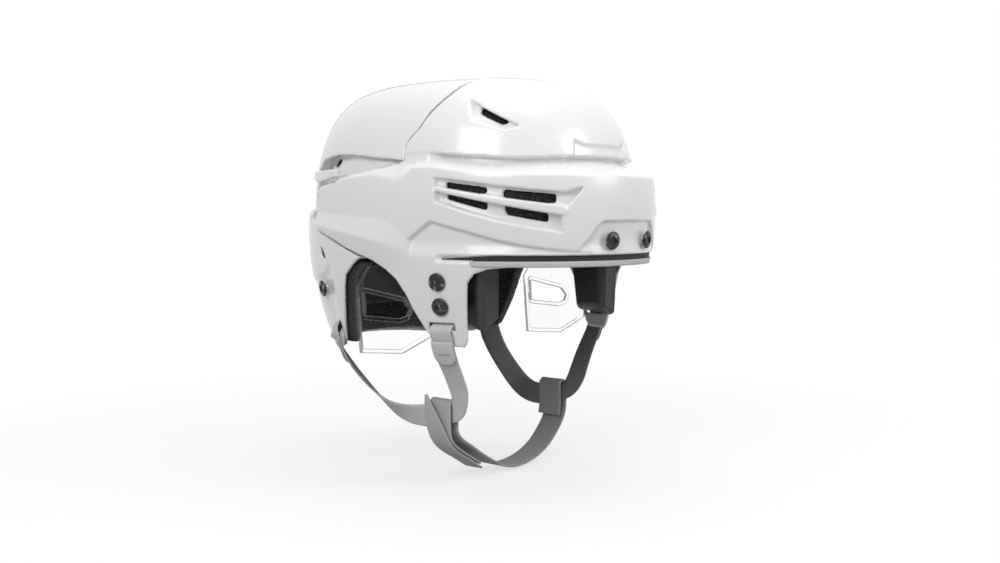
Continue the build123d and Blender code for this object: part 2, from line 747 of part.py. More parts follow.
# Chin strap: it hangs in one plane, with a sewn loop round each side's straps
chin_shares = [(0.578, -0.955), (0.592, -0.892), (0.592, -0.776), (0.602, -0.757), (0.63, -0.747),
               (0.658, -0.757), (0.668, -0.776), (0.668, -0.9), (0.648, -0.958), (0.608, -1.006),
               (0.541, -1.06), (0.443, -1.12), (0.32, -1.163), (0.186, -1.187), (0.052, -1.192),
               (-0.082, -1.171), (-0.206, -1.127), (-0.33, -1.072), (-0.448, -1.012),
               (-0.54, -0.966), (-0.583, -0.926), (-0.592, -0.884), (-0.592, -0.776),
               (-0.602, -0.757), (-0.63, -0.747), (-0.658, -0.757), (-0.668, -0.776),
               (-0.668, -0.91), (-0.643, -0.965), (-0.585, -1.01), (-0.474, -1.064), (-0.35, -1.12)]
chin_route = [(x * dome_half, chin_place, z * dome_top) for x, z in chin_shares]
chin_strap = webbing(chin_route, [(0, 1, 0)] * len(chin_route), [chin_width] * len(chin_route),
                     chin_thickness)
finish(chin_strap, "chin_strap")
tail_shares = [(-0.37, -0.215, -1.14, 1.0), (-0.49, -0.21, -1.083, 1.0), (-0.603, -0.2, -1.028, 1.0),
               (-0.665, -0.19, -0.976, 1.0), (-0.695, -0.18, -0.905, 0.9), (-0.703, -0.17, -0.83, 0.5),
               (-0.7, -0.165, -0.76, 0.12)]
tail_route = [(x * dome_half, y * reach, z * dome_top) for x, y, z, width in tail_shares]
chin_tail = webbing(tail_route, [(0, 1, 0)] * len(tail_route),
                    [width * webbing_width for x, y, z, width in tail_shares], webbing_thickness)
finish(chin_tail, "chin_tail")
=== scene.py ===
# %% [markdown]
# An ice hockey helmet, dressed round its CAD frame. The frame gives every piece its place and the
# body it moves with. This file gives the pieces their moulded shapes, their cloth and their
# finishes. It can be read from top to bottom like a notebook, one step to a cell.

import math

import bpy
import numpy as np
from mathutils import Matrix, Vector


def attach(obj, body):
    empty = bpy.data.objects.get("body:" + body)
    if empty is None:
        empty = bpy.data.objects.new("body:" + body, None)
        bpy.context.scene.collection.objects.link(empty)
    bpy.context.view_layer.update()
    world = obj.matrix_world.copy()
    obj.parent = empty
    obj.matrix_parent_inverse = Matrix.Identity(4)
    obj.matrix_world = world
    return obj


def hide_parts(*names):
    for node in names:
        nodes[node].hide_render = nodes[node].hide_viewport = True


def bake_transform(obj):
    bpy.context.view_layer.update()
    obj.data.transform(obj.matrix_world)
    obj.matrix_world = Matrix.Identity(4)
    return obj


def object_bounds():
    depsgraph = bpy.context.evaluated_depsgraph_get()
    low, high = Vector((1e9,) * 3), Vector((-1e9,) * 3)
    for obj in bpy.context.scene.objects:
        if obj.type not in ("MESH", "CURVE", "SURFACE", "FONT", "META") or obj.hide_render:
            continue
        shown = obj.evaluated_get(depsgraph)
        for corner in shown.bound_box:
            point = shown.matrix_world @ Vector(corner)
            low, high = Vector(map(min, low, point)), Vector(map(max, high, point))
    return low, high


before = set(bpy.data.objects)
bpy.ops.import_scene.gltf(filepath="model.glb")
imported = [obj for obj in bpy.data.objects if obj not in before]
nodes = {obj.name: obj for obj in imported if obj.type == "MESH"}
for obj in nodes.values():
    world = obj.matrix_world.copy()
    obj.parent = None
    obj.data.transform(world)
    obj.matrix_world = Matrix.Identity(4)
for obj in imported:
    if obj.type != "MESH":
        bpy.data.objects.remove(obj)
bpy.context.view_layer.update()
sides = {"right": -1.0, "left": 1.0}
mm = 0.001

# %% [markdown]
# The camera stands to the front right of the wearer, a little above the brow, as the photograph
# does. It could be aimed by a constraint, but a plain matrix keeps the three numbers that matter
# in view: the turn round the helmet, the height and the distance.

# %% The camera
view_turn, view_rise = math.radians(-50.0), math.radians(3.5)
view_distance = 0.8
view_focus, picture_width = 1096.0, 1000.0
# Where the frame's origin and the lens's axis lie in the picture
origin_spot, axis_spot = (476.3, 257.8), (500.0, 281.5)

back = Vector((math.sin(view_turn) * math.cos(view_rise),
               -math.cos(view_turn) * math.cos(view_rise), math.sin(view_rise)))
right = Vector((math.cos(view_turn), math.sin(view_turn), 0.0))
up = back.cross(right)
aside, down = [(origin - axis) / view_focus for origin, axis in zip(origin_spot, axis_spot)]
place = (back - right * aside + up * down) * view_distance
lens = bpy.data.cameras.new("camera")
lens.sensor_width = 36.0
lens.lens = lens.sensor_width * view_focus / picture_width
camera = bpy.data.objects.new("camera", lens)
bpy.context.scene.collection.objects.link(camera)
camera.matrix_world = Matrix((*zip(right, up, back, place), (0, 0, 0, 1)))
bpy.context.scene.camera = camera
print("lens", round(lens.lens, 2), "mm")

# %% [markdown]
# The hard shells are moulded plastic: thin walls with ledges, creases, slots and rounded edges.
# Box modelling or booleans could make them, but a shape this smooth with cuts this crisp is
# easier as a field: a function that says how far each point in space lies outside the plastic.
# Two fields are joined or cut with a rounded edge by a few lines of arithmetic. A mesh is then
# laid on the places where the field is nought.

# %% Joining and cutting fields
def cut(a, b, radius=0.8):
    """What lies in both fields, with its outer edge rounded."""
    corner = np.hypot(np.maximum(a + radius, 0), np.maximum(b + radius, 0))
    return np.minimum(np.maximum(a, b), -radius) + corner


def join(a, b, radius=0.8):
    """What lies in either field, with its inner corner rounded."""
    return -cut(-a, -b, radius)


def ramp(value, start, end):
    """0 before start, 1 after end, and a smooth rise between."""
    part = np.clip((value - start) / (end - start), 0, 1)
    return part * part * (3 - 2 * part)


def bump(value, middle, half_width):
    """1 at the middle, falling smoothly to 0 at the half width."""
    return 1 - ramp(np.abs(value - middle), 0, half_width)


def polygon(u, v, corners):
    """Distance outside a flat outline of corners, negative inside."""
    corners = np.asarray(corners, float)
    best = np.full(u.shape, 1e9)
    inside = np.zeros(u.shape, bool)
    for (au, av), (bu, bv) in zip(corners, np.roll(corners, -1, axis=0)):
        du, dv = bu - au, bv - av
        part = np.clip(((u - au) * du + (v - av) * dv) / (du * du + dv * dv), 0, 1)
        best = np.minimum(best, (u - au - part * du) ** 2 + (v - av - part * dv) ** 2)
        if dv:
            crosses = ((av > v) != (bv > v)) & (u < du * (v - av) / dv + au)
            inside ^= crosses
    return np.sqrt(best) * np.where(inside, -1, 1)


def along(u, places):
    """The second number of the places at u, joined by straight lines."""
    return np.interp(u, *zip(*sorted(places)))


def unit(vectors):
    """The same directions, each one long."""
    return vectors / np.maximum(np.linalg.norm(vectors, axis=-1, keepdims=True), 1e-9)


# %% [markdown]
# The helmet's forms are rounded boxes in plan that draw in towards the crown. The sizes are those
# of the CAD source, in millimetres. Dividing the field by its own slope turns it into a distance,
# so that a wall of 2.5 mm really is that thick everywhere.

# %% The helmet's forms
plan_power, taper_depth = 2.2, 100.0


class Form:
    """A rounded form that is widest at one level and closes at its top."""

    def __init__(self, front, rear, half, top, widest, roundness, taper):
        self.front, self.rear, self.half, self.top = front, rear, half, top
        self.widest, self.power, self.taper = widest, 2 / roundness, taper

    def __call__(self, x, y, z):
        depth = np.where(y > 0, self.rear, self.front)
        u, v = np.abs(x) / self.half, np.abs(y) / depth
        plan = (u ** plan_power + v ** plan_power + 1e-12) ** (1 / plan_power)
        slope_plan = np.hypot(u ** (plan_power - 1) / self.half, v ** (plan_power - 1) / depth)
        slope_plan = slope_plan * plan ** (1 - plan_power)
        rise = np.clip((z - self.widest) / (self.top - self.widest), 0, None)
        total = plan ** self.power + rise ** 2
        upper, upper_slope = total ** (1 / self.power), total ** (1 / self.power - 1)
        upper_plan = upper_slope * plan ** (self.power - 1) * slope_plan
        upper_rise = upper_slope * 2 * rise / self.power / (self.top - self.widest)
        drop = (self.widest - z) / taper_depth
        share = np.maximum(1 - self.taper * drop ** 2, 0.3)
        lower = plan / share
        lower_rise = plan / share ** 2 * 2 * self.taper * drop / taper_depth
        above = z > self.widest
        value = np.where(above, upper, lower) - 1
        slope = np.where(above, np.hypot(upper_plan, upper_rise),
                         np.hypot(slope_plan / share, lower_rise))
        return value / np.maximum(slope, 1e-4)


dome = Form(119, 126, 97, 125.5, 36, 0.45, 0.12)
band = Form(135, 131.5, 101, 125.5, 36, 0.45, 0.15)
crown = Form(119, 131, 95, 124, 36, 0.38, 0.12)
skirt = Form(119, 137, 99, 125.5, 20, 0.45, 0.20)
head = Form(98, 102, 79, 104, 20, 0.6, 0.12)
wall = 2.5

# %% [markdown]
# A mesh is laid on a field with surface nets: space is divided into small cubes, each cube that
# the surface passes through gets one corner of the mesh, and neighbouring cubes are joined by
# four-sided faces. Only blocks of cubes near the surface are worked out. Each corner is then slid
# along the field's slope until it lies on the surface, which makes the faces smooth enough for
# gloss. Where that would fold a face over, its corners are put back.

# %% Laying a mesh on a field
block, batch, near_share = 8, 600, 1.7
corner_steps = [(i, j) for i in (0, 1) for j in (0, 1)]


def field_blocks(field, low, high, step):
    """The field's values on a grid of places, worked out only near the surface."""
    counts = [int(math.ceil((h - l) / step / block)) for l, h in zip(low, high)]
    middles = [low[i] + (np.arange(counts[i]) + 0.5) * block * step for i in range(3)]
    grid = np.meshgrid(*middles, indexing="ij")
    coarse = field(*[axis.ravel() for axis in grid]).reshape(grid[0].shape)
    near = np.abs(coarse) < block * step * near_share
    values = np.repeat(np.repeat(np.repeat(np.where(coarse < 0, -1e3, 1e3).astype(np.float32),
                                           block, 0), block, 1), block, 2)
    values = np.pad(values, ((0, 1), (0, 1), (0, 1)), mode="edge")
    offsets = np.stack(np.meshgrid(*[np.arange(block + 1)] * 3, indexing="ij"), -1).reshape(-1, 3)
    cells = np.argwhere(near)
    for start in range(0, len(cells), batch):
        index = (cells[start:start + batch, None] * block + offsets[None]).reshape(-1, 3)
        place = index * step + np.asarray(low)
        values[index[:, 0], index[:, 1], index[:, 2]] = field(*place.T)
    return values


def moved(cells, axes, steps):
    """Cells moved along some of the axes by whole steps."""
    cells = cells.copy()
    cells[:, axes] += steps
    return cells


def surface_nets(values, low, step):
    """Corners and four-sided faces on the surface between inside and outside."""
    inside = values < 0
    corner_sum = sum(inside[i:inside.shape[0] - 1 + i, j:inside.shape[1] - 1 + j,
                            k:inside.shape[2] - 1 + k].astype(np.int8)
                     for i, j in corner_steps for k in (0, 1))
    cells = np.argwhere((corner_sum > 0) & (corner_sum < 8))
    number = np.full(corner_sum.shape, -1, np.int32)
    number[tuple(cells.T)] = np.arange(len(cells))
    total, count = np.zeros((len(cells), 3)), np.zeros(len(cells))
    faces = []
    for axis in range(3):
        one, two = [other for other in range(3) if other != axis]
        for steps in corner_steps:
            start = moved(cells, [one, two], steps)
            a, b = values[tuple(start.T)], values[tuple(moved(start, [axis], [1]).T)]
            crosses = (a < 0) != (b < 0)
            place = start.astype(float)
            place[:, axis] += np.where(crosses, a / np.where(crosses, a - b, 1), 0)
            total += place * crosses[:, None]
            count += crosses
        lines = np.argwhere(np.diff(inside.astype(np.int8), axis=axis) != 0)
        pair, shape = lines[:, [one, two]], np.array(corner_sum.shape)[[one, two]]
        lines = lines[((pair > 0) & (pair < shape)).all(1)]
        ring = np.stack([number[tuple(moved(lines, [one, two], steps).T)]
                         for steps in ((-1, -1), (0, -1), (0, 0), (-1, 0))], 1)
        outward = inside[tuple(lines.T)]
        if axis == 1:
            outward = ~outward
        ring[~outward] = ring[~outward][:, ::-1]
        faces.append(ring)
    faces = np.concatenate(faces)
    return total / count[:, None] * step + np.asarray(low), faces[(faces >= 0).all(1)]


def settle(field, places, step, rounds=3):
    """Slides places along the field's slope on to its surface."""
    reach, stride, leash = 0.15, 0.6 * step, 0.8 * step
    start = places
    for _ in range(rounds):
        value = field(*places.T)
        slope = np.stack([(field(*(places + offset).T) - value) / reach
                          for offset in np.eye(3) * reach], 1)
        length = np.maximum((slope ** 2).sum(1), 0.05)
        move = slope * (value / length)[:, None]
        far = np.linalg.norm(move, axis=1, keepdims=True)
        places = places - move * np.minimum(1, stride / np.maximum(far, 1e-9))
    # A place that strays in a corner of the surface goes back
    kept = ((np.linalg.norm(places - start, axis=1) < leash)
            & (np.abs(field(*places.T)) < np.abs(field(*start.T)) + 0.02))
    return np.where(kept[:, None], places, start)


def mesh_object(name, places, faces):
    """A Blender object from corners in millimetres and faces of one size."""
    mesh = bpy.data.meshes.new(name)
    faces = np.asarray(faces, np.int32)
    size = faces.shape[1]
    mesh.vertices.add(len(places))
    mesh.vertices.foreach_set("co", (np.asarray(places) * mm).astype(np.float32).ravel())
    mesh.loops.add(faces.size)
    mesh.loops.foreach_set("vertex_index", faces.ravel())
    mesh.polygons.add(len(faces))
    mesh.polygons.foreach_set("loop_start", np.arange(len(faces), dtype=np.int32) * size)
    mesh.update(calc_edges=True)
    mesh.validate()
    mesh.shade_smooth()
    piece = bpy.data.objects.new(name, mesh)
    bpy.context.scene.collection.objects.link(piece)
    return piece


def facings(places, faces):
    """The directions that each face looks in at each of its corners."""
    corners = places[faces]
    after, before = [np.roll(corners, turn, axis=1) - corners for turn in (-1, 1)]
    return unit(np.cross(after, before))


def mould(name, field, low, high, step):
    """A piece whose surface is where the field is nought."""
    values = field_blocks(field, low, high, step)
    rough, faces = surface_nets(values, low, step)
    places = settle(field, rough, step)
    # Where sliding folds a face over, its corners go back
    for _ in range(3):
        folded = ((facings(rough, faces) * facings(places, faces)).sum(2) < 0.1).any(1)
        places[faces[folded]] = rough[faces[folded]]
    piece = mesh_object(name, places, faces)
    print(name, "has", len(faces), "faces,", int(folded.sum()), "of them folded at the last look")
    return piece


def on_side(side_name, name, field, across, along_y, up, step):
    """A piece on one side, given its spans on the left."""
    low, high = sorted(sides[side_name] * far for far in across)
    return mould(f"{name}_{side_name}", field, (low, along_y[0], up[0]),
                 (high, along_y[1], up[1]), step)

# %% [markdown]
# The front shell carries the forehead, the thick band round the brow with its slots, the temples
# and two arms that reach back over the ears. Seen from the side, its outline is one polygon. The
# creases that the light picks out are small ramps added to the field, so they stay sharp without
# needing edges in the mesh.

# %% The front shell's outline and creases
seam = [(-45, 125.5), (-43, 121), (-39, 109), (-32, 98), (-27, 87), (-20, 79), (-19, 75)]
front_outline = [
    (-46, 140), *seam[:-1], (-18.5, 74), (-19.5, 66.5), (-15, 66), (28, 66), (43.6, 64),
    (44.2, 55.4), (45.5, 53.4), (70.5, 52.6), (71.5, 45), (73, 38), (74.5, 31), (76, 23),
    (61, 19), (46, 14.5), (33, 9.5), (22, 6), (5, 1), (-7, -5), (-15, -11), (-22, -21),
    (-26, -30), (-33, -42), (-38, -50), (-42, -53.5), (-59, -54), (-61.5, -50), (-64, -33),
    (-67, -12), (-71, -6), (-79, -3), (-95, -1.2), (-160, -1.2), (-160, 140)
]
band_crease = [
    (80, 50), (52, 53), (28, 57), (2, 58), (-17, 54), (-23, 56), (-31, 62), (-45, 62),
    (-62, 59.5), (-80, 57), (-140, 56.5)
]
arm_top = [(80, 51), (52, 54.5), (44, 58), (28, 60.2), (2, 63.4), (-17, 66), (-30, 68)]
arm_crease = [(76, 24.5), (52, 22), (32, 19.5), (11, 16.5), (-8, 13), (-25, 9), (-40, 5.5)]
facet_top = [(76, 34), (49, 32), (15, 30), (-12, 28), (-19, 22), (-27, 16), (-40, 6.5)]
vent_recess = [
    (-46.5, 55.5), (-60, 54), (-83, 50.5), (-105, 47.5), (-119, 46), (-126, 50), (-124, 44),
    (-118, 30), (-118.5, 20), (-114, 21), (-91, 26.5), (-70, 32.5), (-48.5, 39.5)
]
bar = [
    (-48.5, 49.6), (-91, 42.4), (-119.5, 37.4), (-121, 34), (-119.5, 30.6), (-91, 37), (-48.5, 46)
]
vents = [
    [(-52, 52.3), (-79, 48.4), (-79, 44.0), (-54, 48.4)],
    [(-88, 47.2), (-113.5, 44.2), (-113, 38.2), (-88, 42.4)],
    [(-53, 45.0), (-79.5, 39.0), (-79.5, 34.0), (-55, 41.0)],
    [(-88, 37.2), (-110, 32.4), (-110, 26.6), (-90, 31.4)],
]
lower_recess = [
    (-27, 16), (-45, 28), (-71, 21), (-91, 15), (-107, 11.5), (-128, 8), (-128, 0), (-27, 0)
]
dome_edge = [
    (-15, 71.6), (-35, 72), (-47, 71), (-59, 69.8), (-88, 67.8), (-103, 68.8), (-120, 70.8)
]
crown_vent = [(-60, 101.5), (-62.5, 95.5), (-76, 88.6), (-81, 90.2)]
crown_ledge = [(-52, 107.5), (-89, 87.4), (-80, 84.5), (-60, 91.5)]
brow_recess = [(-48, 4), (-37, 17), (-31, 25), (-27, 28), (27, 28), (31, 25), (37, 17), (48, 4)]
front_facet = [(-34, 63), (-28, 81), (-19, 78), (19, 78), (28, 81), (34, 63)]
strap_slot = [(-55.4, -43.6), (-36.6, -43.6), (-36.6, -38.2), (-55.4, -38.2)]
# How far each form is sunk into the shell, or stands out of it
vent_depth, recess_depth, brow_depth = 3.8, 3.0, 2.2
bead_depth, facet_depth, ledge_depth = 3.0, 2.0, 3.0
bar_proud, arm_proud, lip_proud = 0.9, 3.0, 1.2
groove_depth, groove_rear_depth, arm_depth = 5.0, 0.6, 5.4
# The ledge's slope at the arm and how much flatter it gets forwards, and where the dome ends
ledge_slope, ledge_easing, dome_end = 0.58, 0.13, (-17.5, -14.5)
# How much wider the hollows are behind the wall, and how much thicker the wall is at the groove
hollow_grow, groove_wall = 5.0, 0.9


def hollow(u, v, outline, grow, depth, edge):
    """A hollow inside an outline, with a sloping edge."""
    return depth * ramp(grow - polygon(u, v, outline), 0, edge)


def front_skin(x, y, z, grow=0.0):
    """How far a place lies outside the front shell's outer surface.

    With a growth it gives the form behind the wall, whose hollows are wider by that much."""
    crease = along(y, band_crease)
    out_band, out_dome = band(x, y, z), dome(x, y, z)
    depth_in = np.maximum(-out_band, 0)
    forward = ramp(-y, 18, 34)
    # The arms' top faces are solid, so the form behind them has no slope there
    arm_slope = 0.0 if grow else (along(y, arm_top) - crease) / arm_depth
    front_slope = ledge_slope - ledge_easing * ramp(-y, 44, 66)
    lip = z - crease - depth_in * (front_slope * forward + arm_slope * (1 - forward))
    if not grow:
        # The arm's lower facet stands out to a crease, then turns under
        low, high = along(y, arm_crease), along(y, facet_top)
        rise = np.clip((high - z) / np.maximum(high - low, 0.6), 0, 1)
        rise = np.where(z < low, 1 - np.clip((low - z) / 16, 0, 1), rise)
        out_band = out_band - arm_proud * rise * ramp(y, -40, 4)
    # The vents sit in a sunk panel that the bar crosses at full height
    sunk = hollow(y, z, vent_recess, grow, vent_depth, 1.8)
    if not grow:
        across = -polygon(y, z, bar)
        sunk = sunk * (1 - ramp(across, -0.6, 0.5)) - bar_proud * ramp(across, -0.6, 0.8)
    # Below a crease the band turns under, from the temple to the brow
    sunk = sunk + hollow(y, z, lower_recess, grow, recess_depth, 1.8) * ramp(z, 3, 15)
    # The brow's middle is sunk round the two screws
    sunk = sunk + hollow(x, z, brow_recess, grow, brow_depth, 1.4) * ramp(z, 4, 16) * (y < -90)
    # The bead's seat runs along the lower edge. A lip hangs under it at the brow
    under = ramp(-y, 66, 74)
    seat_top = 4.4 + 1.9 * ramp(-y, 46, 90)
    seat = bead_depth * bump(z, 3.6, 3.0 + grow) * ramp(-y, 46, 52)
    brow_seat = bead_depth * ramp(seat_top - z + grow, 0, 1.0) - lip_proud * ramp(3.0 - z, 0, 1.2)
    sunk = sunk + (seat * (1 - under) + brow_seat * under)
    lower = cut(out_band + sunk, lip, 1.0)
    # A groove parts the dome from the ledge, and facets end the dome's ridges
    groove = (ramp(along(y, dome_edge) - z + grow, 0, 1.5) * ramp(z + grow, 52, 58)
              * (groove_rear_depth * ramp(-y, 15, 26) + groove_depth * ramp(-y, 36, 46)))
    facet = hollow(x, z, front_facet, grow, facet_depth, 3.0) * (y < -80)
    ledge = hollow(y, z, crown_ledge, grow, ledge_depth, 2.4) * (y < 0)
    out_dome = out_dome + 40 * ramp(y, *dome_end)
    return join(lower, out_dome + groove + facet + ledge, 0.8)


def opening(u, v, corners, radius=1.3):
    """A hole's field: its outline with round corners, positive in the hole."""
    corners = np.asarray(corners, float)
    before = unit(corners - np.roll(corners, 1, axis=0))
    after = unit(np.roll(corners, -1, axis=0) - corners)
    sine = np.abs(before[:, 0] * after[:, 1] - before[:, 1] * after[:, 0])[:, None]
    return radius - polygon(u, v, corners + (after - before) * radius / np.maximum(sine, 0.3))


def front_field(x, y, z):
    """The front shell: its wall, cut to its outline, with its slots and holes."""
    # The wall is thicker under the groove, where the mesh would leave pinholes in a thin one
    thick = wall + groove_wall * bump(z, 65, 14) * ramp(-y, 28, 40)
    shell = cut(front_skin(x, y, z), -front_skin(x, y, z, hollow_grow) - thick, 0.6)
    shell = cut(shell, polygon(y, z, front_outline), 1.0)
    # Each arm's top face ends a few millimetres in, beside the rear shell's track
    on_arm = ramp(y, *dome_end) * (z > 48)
    shell = cut(shell, -band(x, y, z) - arm_depth - 60 * (1 - on_arm), 1.3)
    for hole in vents + [crown_vent, strap_slot]:
        shell = cut(shell, opening(y, z, hole), 0.5)
    return shell


front_shell = mould("front_shell_skin", front_field, (-106, -140, -58), (106, 80, 128), 1.15)

# %% [markdown]
# The rear shell holds the crown and the back of the head. Its sides are sunk into tracks, so that
# it slides in and out under the front shell's arms when the wearer sets the size. The tracks show
# as a channel above each arm.

# %% The rear shell
track = Form(116.1, 114.1, 91.7, 121.0, 36, 0.45, 0.12)
rear_crease = [(50, 2), (62, -5), (70, -9), (84, -12), (110, -14), (160, -14)]
crease_depth, rib_height, step_level, step_slope = 1.6, 1.2, 32.5, 0.8


def seam_moved(back):
    """The seam's line, moved back by so much."""
    return [(y + back, z) for y, z in seam]


track_outline = [
    (-44, 160), *seam_moved(1.5), (-18, 66.5), (12, 69.4), (33, 71.9), (55, 72.9), (78, 70.5),
    (88, 64), (90, 29), (76, 20), (60, 16), (22, 4), (4, -2.5), (-160, -2.5), (-160, 160)
]
rear_outline = [
    (-60, 140), *seam_moved(-14), (-30, 60), (-10, 40), (6, 15), (19, 3), (27, -2), (37, -10),
    (40, -19), (44, -35), (51, -56), (57, -61), (66, -63.6), (90, -65), (155, -57.7), (155, 140)
]
rear_vents = [[(66, 71), (54, 70), (70, 62), (77, 64)], [(71, 11), (65, 5), (61, -2), (70, 2.5)]]
rear_slot = [(53.5, -47.6), (53.5, -42.0), (75.5, -51.0), (75.5, -56.6)]


def rear_skin(x, y, z):
    """How far a place lies outside the rear shell's outer surface."""
    high = crown(x, y, z)
    # A broad rib stands out along the middle of the crown's back
    high = high - rib_height * ramp(22 - np.abs(x), 0, 4) * ramp(y, 30, 60) * ramp(z, 44, 60)
    low = skirt(x, y, z)
    step = z - step_level - step_slope * np.maximum(-low, 0)
    low = low + crease_depth * ramp(along(y, rear_crease) - z, 0, 6) * ramp(y, 50, 62)
    body = join(cut(low, step, 1.2), high, 0.8)
    sunk = polygon(y, z, track_outline)
    return join(track(x, y, z), cut(body, -sunk, 0.8), 0.6)


def rear_field(x, y, z):
    """The rear shell: its wall, cut to its outline, with its vents and strap slots."""
    shell = cut(rear_skin(x, y, z), -rear_inside(x, y, z), 0.6)
    shell = cut(shell, polygon(y, z, rear_outline), 1.0)
    for hole in rear_vents + [rear_slot]:
        shell = cut(shell, opening(y, z, hole), 0.5)
    return shell


def rear_inside(x, y, z):
    """How far a place lies outside the rear shell's inner surface."""
    low = skirt(x, y, z) + crease_depth * ramp(along(y, rear_crease) - z, -1, 6) * ramp(y, 49, 61)
    step = z - step_level - step_slope * np.maximum(-low, 0)
    body = join(cut(low, step, 1.2), crown(x, y, z), 0.8)
    sunk = polygon(y, z, track_outline)
    return join(track(x, y, z) + wall, cut(body + wall, wall - sunk, 0.8), 0.6)


rear_shell = mould("rear_shell_skin", rear_field, (-104, -66, -68), (104, 142, 128), 1.15)

# %% [markdown]
# Bead foam fills the shells: black, light and a little grainy. It is cut back for the head, with
# air channels between its blocks. It could stay the plain CAD solid, but its face shows through
# every slot and round the ear opening, so it gets its channels and soft edges here.

# %% The foam liners
foam_gap, foam_step, channel_depth, head_gap, slot_room = 1.0, 2.0, 4.5, 6.9, 4


def foam(inside, outline):
    """Foam between a shell's inner surface and the head, with air channels."""
    def field(x, y, z):
        channel = np.maximum(bump(x, 0, 7), np.maximum(bump(y, -30, 6), bump(y, 48, 6)))
        room = head_gap + channel_depth * channel * ramp(z, 20, 40)
        body = cut(inside(x, y, z) + foam_gap, room - head(x, y, z), 1.5)
        return cut(body, polygon(y, z, outline), 1.5)
    return field


front_foam_outline = [(-61, 140), *seam_moved(-14.6), (-36, 62.7), (-36, 8), (-155, 8), (-155, 140)]
rear_foam_outline = [
    (-60, 140), *seam_moved(-13.4), (-30, 60), (-10, 40), (6, 15), (10, 3), (18, -2), (28, -10),
    (31, -19), (35, -35), (42, -56), (45, -58), (90, -60), (155, -54), (155, 140)
]


def front_inside(x, y, z):
    """How far a place lies outside the front shell's inner surface."""
    return front_skin(x, y, z, hollow_grow) + wall


def rear_foam(x, y, z):
    """The foam in the rear shell, open round the strap's slot."""
    return cut(rear_block(x, y, z), slot_room - polygon(y, z, rear_slot), 1.0)


rear_block = foam(rear_inside, rear_foam_outline)
front_liner = mould("front_foam", foam(front_inside, front_foam_outline),
                    (-100, -134, 4), (100, -30, 124), foam_step)
rear_liner = mould("rear_foam", rear_foam, (-100, -62, -64), (100, 136, 124), foam_step)

# %% [markdown]
# Soft pads touch the head at the brow, the crown, the sides and the nape, and a thick one stands
# on each side of the face opening. Cloth simulation suits loose cushions, but these are firm foam
# under a tight knit, glued to the liner, so they are fields too, with large round edges.

# %% The pads
pad_thickness, pad_round, pad_step = 6.4, 2.6, 1.8
piping_inset, piping_height, piping_width = 2.4, 0.7, 1.1


def head_pad(flat, low, high):
    """A field for a pad between the head and the foam, cut by a square seen from one side."""
    corners = [low, (high[0], low[1]), high, (low[0], high[1])]

    def field(x, y, z):
        u, v = flat(x, y, z)
        layer = cut(head(x, y, z) - pad_thickness, -head(x, y, z), pad_round)
        return cut(layer, polygon(u, v, corners), pad_round)
    return field


def side_view(x, y, z):
    """The place of a point as seen from the side."""
    return y, z


def top_view(x, y, z):
    """The place of a point as seen from above, below the head's crown left out."""
    return x, np.where(z > 70, y, 300)


forehead_pad = mould("forehead_pad_cloth", head_pad(side_view, (-140, 12), (-62, 46)),
                     (-84, -108, 8), (84, -56, 50), pad_step)
crown_pad = mould("crown_pad_cloth", head_pad(top_view, (-34, -34), (34, 34)),
                  (-40, -40, 76), (40, 40, 114), pad_step)
nape_pad = mould("nape_pad_cloth", head_pad(side_view, (70, -38), (140, 8)),
                 (-80, 64, -42), (80, 112, 12), pad_step)


def temple_pad_field(x, y, z):
    """The thick pad beside the face opening: a block with large rounds and a piped border."""
    x = np.abs(x)
    inner = np.interp(y, [-72, -67, -57, -38, -30], [58.6, 57.0, 59.4, 67.2, 69.2])
    outer = np.interp(y, [-72, -67, -57, -38], [77.6, 78.8, 75.2, 74.4]) + (z - 4) * 0.07
    bottom = np.interp(x, [57, 78], [-36.0, -45.0]) + (y + 70) * 0.05
    body = cut(inner - x, x - outer, 3.5)
    body = cut(body, cut(-72 - y, y + 34 - z * 0.2, 3.0), 3.5)
    body = cut(body, cut(bottom - z, z - 6.5, 3.0), 3.5)
    # Piping runs round the pad's front face, a little in from its edge
    ring = np.maximum(np.maximum(inner + piping_inset - x, x - outer + piping_inset),
                      bottom + piping_inset - z)
    return body - piping_height * bump(ring, 0, piping_width) * ramp(-y, 66, 69)


side_pads, temple_pads = {}, {}
for name in sides:
    side_pads[name] = on_side(name, "side_pad_cloth", head_pad(side_view, (4, 26), (58, 56)),
                              (50.0, 90.0), (0, 62), (22, 60), pad_step)
    temple_pads[name] = on_side(name, "temple_pad_cloth", temple_pad_field,
                                (54.0, 82.0), (-76, -34), (-50, 10), 0.8)

# %% [markdown]
# Each ear sits behind a clear guard: a moulded plate with a raised rim round the ear hole and
# along its lower edge, and two bosses that take the temple screws.

# %% The clear ear guards
guard_outline = [
    (19, -4), (29, -18), (27, -43), (25, -63), (-11, -61), (-37, -47), (-37, -34), (-58, -33),
    (-58, -4), (-20, 1)
]
ear_hole = [(22, -21), (-12, -26), (-17, -31), (-15, -35.5), (-9, -37.5), (21, -37)]
guard_place, guard_lean = (86.5, -10.0), 0.115
# How thick the plate is, and how much its rims and its rib stand up
plate_face, plate_back, hole_rim, low_rim, rib_rim = 1.0, 1.0, 1.5, 1.3, 0.8
boss_radius, boss_bore, boss_top, boss_reach = 6.4, 3.5, -3.2, -14.4
temple_y, temple_levels = -48, (-11.5, -27.5)


def value_at(form, place):
    """A form's value at one place."""
    return float(form(*[np.array(v) for v in place]))


def seat(form, start, way):
    """Where the way from a start inside meets a form's wall, and the outward direction there."""
    start, way = np.array(start, float), np.array(way, float)
    low, high = 0.0, 160.0
    for _ in range(50):
        middle = (low + high) / 2
        outside = value_at(form, start + way * middle) > 0
        low, high = (low, middle) if outside else (middle, high)
    place = start + way * low
    slope = np.array([value_at(form, place + step) - value_at(form, place - step)
                      for step in np.eye(3) * 0.5])
    return place, unit(slope)


